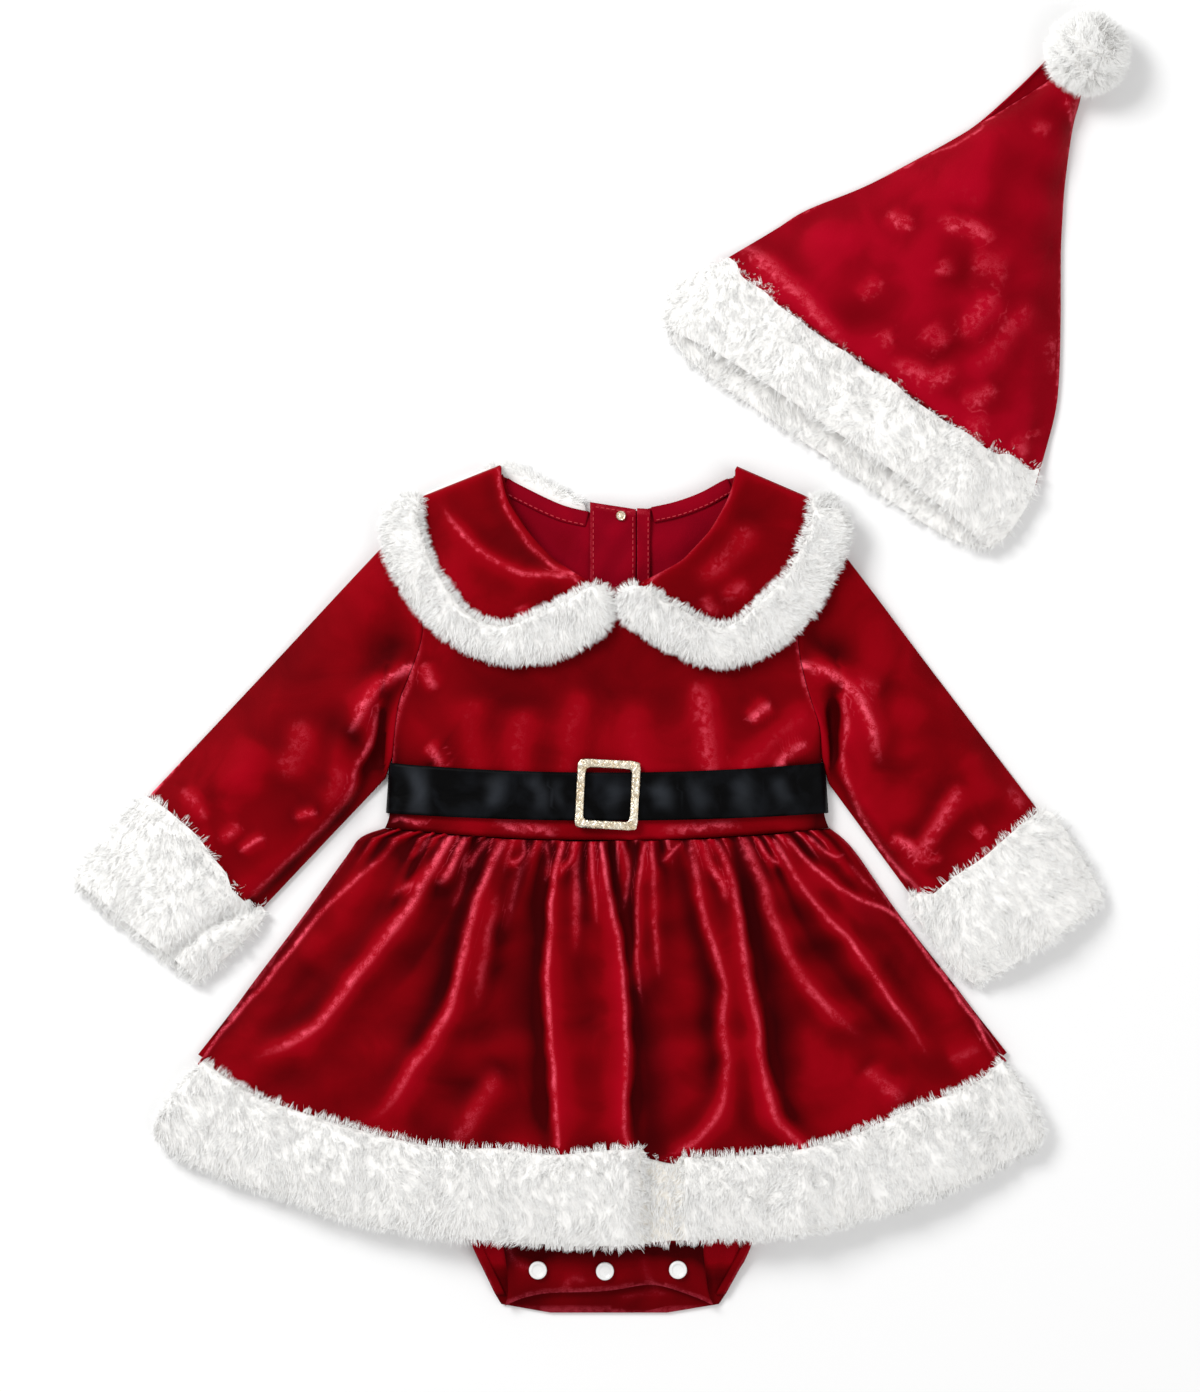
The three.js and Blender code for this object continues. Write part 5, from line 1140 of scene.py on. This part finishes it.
def cuffShape(side):
    cut = cuffCut[side]
    full = spread(*[smoothLine(cut[n]) for n in ("seam", "end", "top", "low")])
    axis = np.array(cut["axis"])

    def front(s, v):
        return full(s, v) - axis * (cut["short"] * v * v * (1 - np.abs(2 * s - 1) ** 6))[:, None]

    def roof(x, y, s, v):
        dome = 9 + 8 * (1 - np.abs(2 * s - 1) ** 3)
        return dome + 2.4 * (1 - np.abs(2 * v - 1) ** 3) + creases(cut["folds"], x, y)[0]
    walls = {"edge": 2.4, "side": 5.0, "pile": 3.0, "roof": 2.6, "floor": 2.4}
    return tubeFur(front, full, roof, 0.2, walls, (-0.02, 0.95))


# Hat: a runs along the brim and b up the cone
def turnedHat(a, b):
    c, n = math.cos(hatPlace["turn"]), math.sin(hatPlace["turn"])
    return hatPlace["x"] + a * c - b * n, hatPlace["y"] + a * n + b * c


def brimPlan(depth):
    sides = [(0, -104, 104.5), (0.2, -110, 107.4), (0.5, -116.4, 108.8), (0.8, -116, 108.6), (1, -110, 105)]

    def plan(s, v):
        left, right = table(sides, v)
        a = lerp(left, right, s)
        middle = 1 - np.abs(2 * s - 1) ** 8
        v = v - (1 - v) * 0.03 * (np.sin(a / 7.5) + np.sin(a / 4.1 + 1)) * middle
        return np.stack(turnedHat(a, -v * lerp(44, depth, middle) - 0.1), -1)
    return plan


def brimShape():
    def roof(x, y, s, v):
        crown = 9 * (1 - np.abs(2 * s - 1) ** 4) + 3 * (1 - np.abs(2 * v - 1) ** 3)
        return 10.6 + crown + 0.8 * softWaves(x, y, 34, 41)
    walls = {"edge": 2.6, "side": 5.6, "pile": 3.4, "roof": 2.6, "floor": 2.0}
    return tubeFur(brimPlan(44), brimPlan(57.5), roof, 0.2, walls, (-0.07, 0.95))


# Cone: height up it, left edge, right edge, crown, and how far the back layer shows on the left
coneRows = smoothLine([
    (-5, -103, 104, 15.5, 0), (0.3, -101, 102, 18.6, 0), (30, -87.5, 92, 18.6, 0), (48, -79.5, 83, 18.4, 0),
    (76, -61, 65, 17.6, 0), (105, -45.6, 45.3, 16.4, 0), (120, -38, 36, 15.6, 0), (137, -30, 26, 14.6, 0.6),
    (163, -18, 13, 13.6, 6), (178, -12, 7.6, 13.6, 9), (187, -9, 3.4, 13.6, 10.4)], even=False)
coneRows = coneRows(np.linspace(0, 1, 90)).tolist()


def coneShape(s, v):
    u, front = roundAbout(s)
    b = lerp(187, -5, v)
    left, right, crown, back = table(coneRows, b)
    a = np.where(front, lerp(left, right, u), lerp(left - back, right, u))
    x, y = turnedHat(a, b)
    floor = 2 * (1 - ease(b / 24))
    high, light = creases(hatFolds, x, y)
    sides = 1 - np.abs(2 * u - 1) ** 2.6
    bow = bowed(u, 7)
    roof = floor + 4.6 + (crown - 4.6) * sides
    roof = roof + (high + 0.45 * softWaves(x, y, 42, 51)) * np.minimum(1, 3 * sides)
    z = np.where(front, floor + 2.2 + (roof - floor - 2.2) * bow, floor + 2.2 - 2.2 * bow)
    return x, y, z, light * front[:, None]


def layCloth(name, node, size, shape, material, flat, wall=clothWall, joined=False):
    piece = layGrid(name, *size, shape, material, joined)
    shell = piece.modifiers.new("wall", "SOLIDIFY")
    shell.thickness = wall / 1000
    shell.offset = -1
    settle(piece, [node])


layCloth("skirtBack", "skirt_back", (80, 40), skirtBackShape(), velvet,
         (0.42, 0.175))
layCloth("briefBack", "brief_back", (50, 54), briefShape(briefBackRows, 0), velvet,
         (0.23, 0.255))
layCloth("briefFront", "brief_front", (60, 70), briefShape(briefFrontRows, 1), velvet,
         (0.225, 0.24))
layCloth("skirtFront", "skirt_front", (250, 84), skirtFrontShape(), velvet,
         (0.62, 0.175))
placketFlat = {"left": ((0.025, 0.135), 0.0033), "right": ((0.0105, 0.135), 0.001)}
for side in ("left", "right"):
    back = "bodice_back_" + side
    layCloth("bodiceBack_" + side, back, (32, 54), bodiceBackShape(side), velvetInside,
             (0.12, 0.185))
    layCloth("legBinding_" + side, "leg_binding_" + side, (10, 50), legBindingShape(side), velvet,
             (0.011, 0.13), wall=0.8)
    layCloth("neckBinding_" + side, "neck_binding_" + side, (40, 12), bindingShape(side), velvetInside,
             (0.052, 0.010), wall=0.9)
    flat, area = placketFlat[side]
    layCloth("placketStrip_" + side, "placket_" + side, (24, 60), placketShape(side), velvetInside,
             flat, wall=0.9)
    layCloth("sleeveCloth_" + side, "sleeve_" + side, (132, 56), sleeveShape(side), velvetSoft,
             (0.215, 0.14), joined=True)
layCloth("bodiceFront", "bodice_front", (150, 52), bodiceFrontShape(), velvetSoft,
         (0.235, 0.19))
for side in ("left", "right"):
    layCloth("collarCloth_" + side, "collar_" + side, (34, 72), collarShape(side), velvetSoft,
             (0.06, 0.14), wall=1.1)
layCloth("beltRibbon", "belt", (240, 14), beltShape, satin,
         (0.50, 0.0254), wall=0.8, joined=True)
layCloth("hatCone", "hat_cone", (150, 88), coneShape, velvetHat,
         (0.40, 0.19), joined=True)


# Stitches: short threads in a row on a laid shape, from one place (s, v) on it to another
stitch = {"wide": 0.45, "high": 0.4, "lift": 0.15}


def stitchRow(name, shape, start, stop, count):
    work = bmesh.new()
    share = (np.arange(count)[:, None] + np.array([0.2, 0.8])).reshape(-1) / count
    path = np.stack(shape(lerp(start[0], stop[0], share), lerp(start[1], stop[1], share))[:3], -1)
    path = (path + np.array([shift[0], shift[1], stitch["lift"]])) / 1000
    for a, b in path.reshape(-1, 2, 3):
        along = Vector(b - a)
        size = Matrix.Diagonal((along.length, stitch["wide"] / 1000, stitch["high"] / 1000, 1))
        turn = along.to_track_quat("X", "Z").to_matrix().to_4x4()
        bmesh.ops.create_cube(work, size=1, matrix=Matrix.Translation((a + b) / 2) @ turn @ size)
    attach(addPiece(name, work, thread), "root")


for side in ("left", "right"):
    stitchRow("neckStitches_" + side, bindingShape(side), (0.02, 0.86), (0.98, 0.86), 15)
for name, side, start, stop, count in [
        ("placketStitchesA", "left", (0.07, 0.03), (0.07, 0.9), 36),
        ("placketStitchesB", "left", (0.93, 0.03), (0.93, 0.9), 36),
        ("placketStitchesTop", "left", (0.1, 0.016), (0.9, 0.016), 7),
        ("placketStitchesC", "right", (0.84, 0.03), (0.84, 0.9), 36)]:
    stitchRow(name, placketShape(side), start, stop, count)
print("cloth laid")


# Fur: a closed base with clumps of tapering blades on it
def layRoll(name, node, size, shape, ends):
    base = layGrid(name, *size, shape, furGround, True)
    if ends:
        work = bmesh.new()
        work.from_mesh(base.data)
        bmesh.ops.holes_fill(work, edges=work.edges)
        work.to_mesh(base.data)
        work.free()
    return settle(base, [node])


def unit(rows, least=1e-6):
    return rows / np.maximum(np.linalg.norm(rows, axis=1), least)[:, None]


furLook = {
    "perTuft": 7, "long": (3.4, 6.0), "wide": (0.11, 0.20),  # blades in a clump, their length and half width
    "stand": 0.42, "lean": 1.0, "stray": 0.11,  # straight up, along the comb, and by chance
    "clump": 0.95, "gather": 0.3, "frizz": 0.24,  # width of a clump, how its tips meet, how they stray
    "under": 0.10,  # share of the blades on an underside
}


def growFur(name, base, blades, look, comb, seed, finish=furWhite):
    chance = np.random.default_rng(seed)
    mesh = base.data
    mesh.calc_loop_triangles()
    corners = np.array([tri.vertices[:] for tri in mesh.loop_triangles])
    spots = np.array([vert.co[:] for vert in mesh.vertices]) * 1000
    p0, p1, p2 = (spots[corners[:, k]] for k in range(3))
    facing = np.cross(p1 - p0, p2 - p0)
    area = np.linalg.norm(facing, axis=1)
    facing = facing / np.maximum(area, 1e-9)[:, None]
    hidden = look["hidden"]((p0 + p1 + p2) / 3) if "hidden" in look else 0
    density = np.where(facing[:, 2] > 0.8, 1, np.where(facing[:, 2] > -0.4, 1.5, look["under"]))
    weight = (1 - hidden) * area * density
    perTuft = look["perTuft"]
    tufts = blades // perTuft
    chosen = chance.choice(len(corners), tufts, p=weight / weight.sum())
    a, b = chance.random(tufts), chance.random(tufts)
    a, b = np.where(a + b > 1, 1 - a, a)[:, None], np.where(a + b > 1, 1 - b, b)[:, None]
    middle = p0[chosen] * (1 - a - b) + p1[chosen] * a + p2[chosen] * b
    up = facing[chosen]
    steep = ease(1.25 - 1.2 * up[:, 2:] + chance.normal(0, 0.32, (tufts, 1)))
    lean = lerp(comb(middle, up), unit(up * np.array([1, 1, 0]), 0.05), steep)
    lean = lean - up * (lean * up).sum(1)[:, None]
    long = chance.uniform(*look["long"], tufts)
    aim = unit(up * look["stand"] + lean * look["lean"] + chance.normal(0, look["stray"], (tufts, 3)))
    peak = middle + aim * long[:, None]
    each = np.repeat(np.arange(tufts), perTuft)
    n = len(each)
    side = unit(np.cross(up, aim))
    ahead = np.cross(side, up)
    aside = chance.normal(0, look["clump"], n)[:, None]
    onward = chance.normal(0, look["clump"], n)[:, None]
    root = middle[each] + side[each] * aside + ahead[each] * onward - up[each] * 0.5
    alone = root + aim[each] * long[each][:, None]
    tip = lerp(alone, peak[each], look["gather"]) + chance.normal(0, look["frizz"], (n, 3))
    tip = lerp(root, tip, chance.uniform(0.7, 1.08, n)[:, None])
    half = lerp(root, tip, 0.5) + up[each] * (0.10 * long[each])[:, None] + chance.normal(0, 0.3, (n, 3))
    across = unit(np.cross(tip - root, chance.normal(0, 1, (n, 3)) * 0.6 + up[each]))
    wide = chance.uniform(*look["wide"], n)[:, None]
    face = unit(up[each] + np.array([0, 0, 1.7]) + chance.normal(0, 0.16, (n, 3)))  # lit as if it faced up
    away = (np.cross(across, tip - root) * face).sum(1) < 0
    across = across * np.where(away, -1, 1)[:, None] * wide
    points = np.stack([root - across, root + across, half + across * 0.75, half - across * 0.75, tip], 1)
    points[:, :, 2] = np.maximum(points[:, :, 2], 0.25)  # no blade goes into the surface
    points = points.reshape(-1, 3) / 1000
    start = np.arange(n)[:, None] * 5
    quads = (start + np.array([0, 1, 2, 3])).reshape(-1)
    tris = (start + np.array([3, 2, 4])).reshape(-1)
    made = bpy.data.meshes.new(name)
    made.vertices.add(len(points))
    made.vertices.foreach_set("co", points.reshape(-1))
    made.loops.add(len(quads) + len(tris))
    made.loops.foreach_set("vertex_index", np.concatenate([quads, tris]))
    made.polygons.add(2 * n)
    made.polygons.foreach_set("loop_start", np.concatenate([np.arange(n) * 4, len(quads) + np.arange(n) * 3]))
    made.update(calc_edges=True)
    made.polygons.foreach_set("use_smooth", np.ones(2 * n, bool))
    layer = made.attributes.new("tip", "FLOAT", "POINT")
    layer.data.foreach_set("value", np.tile([0.0, 0.0, 0.5, 0.5, 1.0], n))
    made.normals_split_custom_set_from_vertices(np.repeat(face, 5, 0))
    return settle(addObject(name, made, finish), [])


def level(turn):
    return np.stack([np.cos(turn), np.sin(turn), 0 * turn], -1)


# Which way the fur is combed: about one angle, or on the collar away from the neck
def swirled(angle, swing, scale, seed):
    def comb(middle, up):
        return level(angle + swing * softWaves(middle[:, 0], middle[:, 1], scale, seed))
    return comb


def outward(side):
    neckX, neckY = (-30 if side == "left" else 38), 176

    def comb(middle, up):
        x, y = middle[:, 0] - shift[0], middle[:, 1] - shift[1]
        return level(np.arctan2(y - neckY, x - neckX) + 0.5 * softWaves(x, y, 40, 66))
    return comb


# Fur on the back of the collar that the bodice covers
def underBodice(centre):
    x, y = centre[:, 0] - shift[0], centre[:, 1] - shift[1]
    edge = table(neckBack["left"] + neckBack["right"], x)[0]
    return (centre[:, 2] < 6.5) & (y < edge + 3) & (np.abs(x) < 98)


# Rolls: name, node, grid, shape, blades, comb, flat size, what it rests on, closed ends
rolls = [
    ("hemFurBack", "hem_fur_back", (120, 20), hemFurShape(False), 11000, swirled(-1.6, 0.5, 60, 61),
     (0.48, 0.052), ["skirt_back"], True),
    ("hemFurFront", "hem_fur_front", (180, 24), hemFurShape(True), 55000, swirled(-1.6, 0.55, 52, 62),
     (0.48, 0.052), ["skirt_front", "hem_fur_back"], True),
    ("cuffFur_left", "cuff_left", (90, 34), cuffShape("left"), 20000, swirled(-2.2, 0.55, 44, 63),
     (0.21, 0.05), ["sleeve_left"], False),
    ("cuffFur_right", "cuff_right", (90, 34), cuffShape("right"), 20000, swirled(-1.0, 0.55, 44, 64),
     (0.21, 0.05), ["sleeve_right"], False),
    ("collarFur_left", "collar_fur_left", (130, 16), collarFurShape("left"), 19500, outward("left"),
     (0.028, 0.215), ["bodice_front"], True),
    ("collarFur_right", "collar_fur_right", (130, 16), collarFurShape("right"), 19500, outward("right"),
     (0.028, 0.215), ["bodice_front"], True),
    ("brimFur", "hat_brim", (120, 38), brimShape(), 37000, swirled(-2.1, 0.6, 44, 67),
     (0.44, 0.047), ["hat_cone"], False),
]
for name, node, size, shape, blades, comb, flat, rests, ends in rolls:
    base = layRoll(name, node, size, shape, ends)
    look = dict(furLook, hidden=underBodice) if node.startswith("collar") else furLook
    pile = growFur(name + "Pile", base, blades, look, comb, len(name) + blades)
    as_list(rests)
print("fur grown")


# Pompom
pompomCut = {"along": -3.7, "up": 198.1, "radius": 17, "middle": 14.5, "halfHigh": 9.6, "blades": 15000}
pompomLook = dict(furLook, stand=0.85, lean=0.7, long=(6.0, 9.0), stray=0.25, under=0.3)


def pompomShape(s, v):
    turn, fall = 2 * math.pi * s, math.pi * v
    out = pompomCut["radius"] * np.sin(fall)
    x, y = turnedHat(pompomCut["along"] + out * np.cos(turn), pompomCut["up"] + out * np.sin(turn))
    return x, y, pompomCut["middle"] + pompomCut["halfHigh"] * np.cos(fall)


def pompomComb(middle, up):
    turn = 6 * softWaves(middle[:, 0], middle[:, 1] + middle[:, 2], 60, 95)
    return np.cross(up, level(turn) + np.array([0, 0, 0.3]))


pompom = layGrid("pompomCore", 40, 24, pompomShape, furGround, True)
settle(pompom, ["hat_pompom"])
growFur("pompomPile", pompom, pompomCut["blades"], pompomLook, pompomComb, 91, pompomWhite)
print("pompom grown")


# Buckle, snaps and button
buckleCut = {"x": 0.3, "y": 19.1, "turn": math.radians(-3), "wide": 33.4, "high": 36.6, "bar": 4.4,
             "squareness": 0.17, "dents": 0.22}
buckleHeights = [1000 * corner[2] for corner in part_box("buckle")]


def buckleShape(s, v):
    turn, section = 2 * math.pi * s, 2 * math.pi * v
    bar = buckleCut["bar"]
    dent = buckleCut["dents"] * softWaves(60 * s + 9 * v, 40 * v, 5, 71)
    beyond = (bar + dent) * 0.5 * np.cos(section)
    a = signedPower(np.cos(turn), buckleCut["squareness"]) * ((buckleCut["wide"] - bar) / 2 + beyond)
    b = signedPower(np.sin(turn), buckleCut["squareness"]) * ((buckleCut["high"] - bar) / 2 + beyond)
    c, n = math.cos(buckleCut["turn"]), math.sin(buckleCut["turn"])
    low, high = buckleHeights
    middle, rise = (low + high) / 2 + 0.2, (high - low) / 2 - 0.3
    z = middle + (rise + dent) * signedPower(np.sin(section), 0.7)
    return buckleCut["x"] + a * c - b * n, buckleCut["y"] + a * n + b * c, z


buckle = layGrid("buckleFrame", 200, 20, buckleShape, gold, True)
settle(buckle, ["buckle"])


def domed(name, node, x, y, profile, material):
    work = bmesh.new()
    verts = [work.verts.new((r / 1000, 0, h / 1000)) for r, h in profile]
    edges = [work.edges.new(pair) for pair in zip(verts, verts[1:])]
    bmesh.ops.spin(work, geom=verts + edges, angle=2 * math.pi, steps=40, axis=(0, 0, 1),
                   cent=(0, 0, 0), use_merge=True)
    bmesh.ops.remove_doubles(work, verts=work.verts, dist=2e-6)
    bmesh.ops.recalc_face_normals(work, faces=work.faces)
    bmesh.ops.translate(work, verts=work.verts, vec=((x + shift[0]) / 1000, (y + shift[1]) / 1000, 0))
    for face in work.faces:
        face.smooth = True
    settle(addPiece(name, work, material), [node])


for k, (x, y) in enumerate([(-36.6, -233.2), (-1.1, -233.7), (37.6, -233)]):
    number = str(k + 1)
    low, high = (1000 * corner[2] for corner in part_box("snap_" + number))
    profile = [(0, low), (4.2, low), (4.75, low + 0.35), (4.75, high - 0.5), (4.3, high - 0.1), (3.4, high),
               (3.0, high - 0.55), (2.2, high - 0.75), (0, high - 0.8)]
    domed("snap_cap_" + number, "snap_" + number, x, y, profile, enamel)

# The button keeps its own solid, in gold
for slotInUse in bpy.data.objects["neck_button"].material_slots:
    slotInUse.material = gold
print("hardware made")

# Surface, light and camera
paper = Finish("palePaper", {
    "Base Color": (0.93, 0.93, 0.93, 1), "Roughness": 0.9, "Specular IOR Level": 0.1})
work = bmesh.new()
bmesh.ops.create_grid(work, x_segments=1, y_segments=1, size=2.2)
bmesh.ops.translate(work, verts=work.verts, vec=(0, 0, -0.0003))
addPiece("paleSurface", work, paper.material)


def areaLight(name, spot, size, power):
    lamp = bpy.data.lights.new(name, "AREA")
    lamp.shape = "RECTANGLE"
    lamp.size, lamp.size_y = size, size
    lamp.energy = power
    made = addObject(name, lamp)
    made.location = spot
    made.rotation_euler = (-made.location).to_track_quat("-Z", "Y").to_euler()


areaLight("keyLight", (-1.15, 1.05, 1.55), 0.9, 34)
areaLight("fillLight", (1.4, -0.9, 1.8), 2.0, 14)
view = {"room": 0.55, "spot": (-0.00094, -0.01742, 1.75), "lens": 85, "sensor": 36}
world = bpy.data.worlds.new("softRoom")
bpy.context.scene.world = world
world.use_nodes = True
background = world.node_tree.nodes["Background"]
background.inputs["Color"].default_value = (1, 1, 1, 1)
background.inputs["Strength"].default_value = view["room"]
bpy.context.scene.view_settings.view_transform = "Standard"

lens = bpy.data.cameras.new("downCamera")
lens.lens = view["lens"]
lens.sensor_width = view["sensor"]
lens.clip_end = 10
camera = addObject("downCamera", lens)
camera.location = view["spot"]
bpy.context.scene.camera = camera
print("stage set")
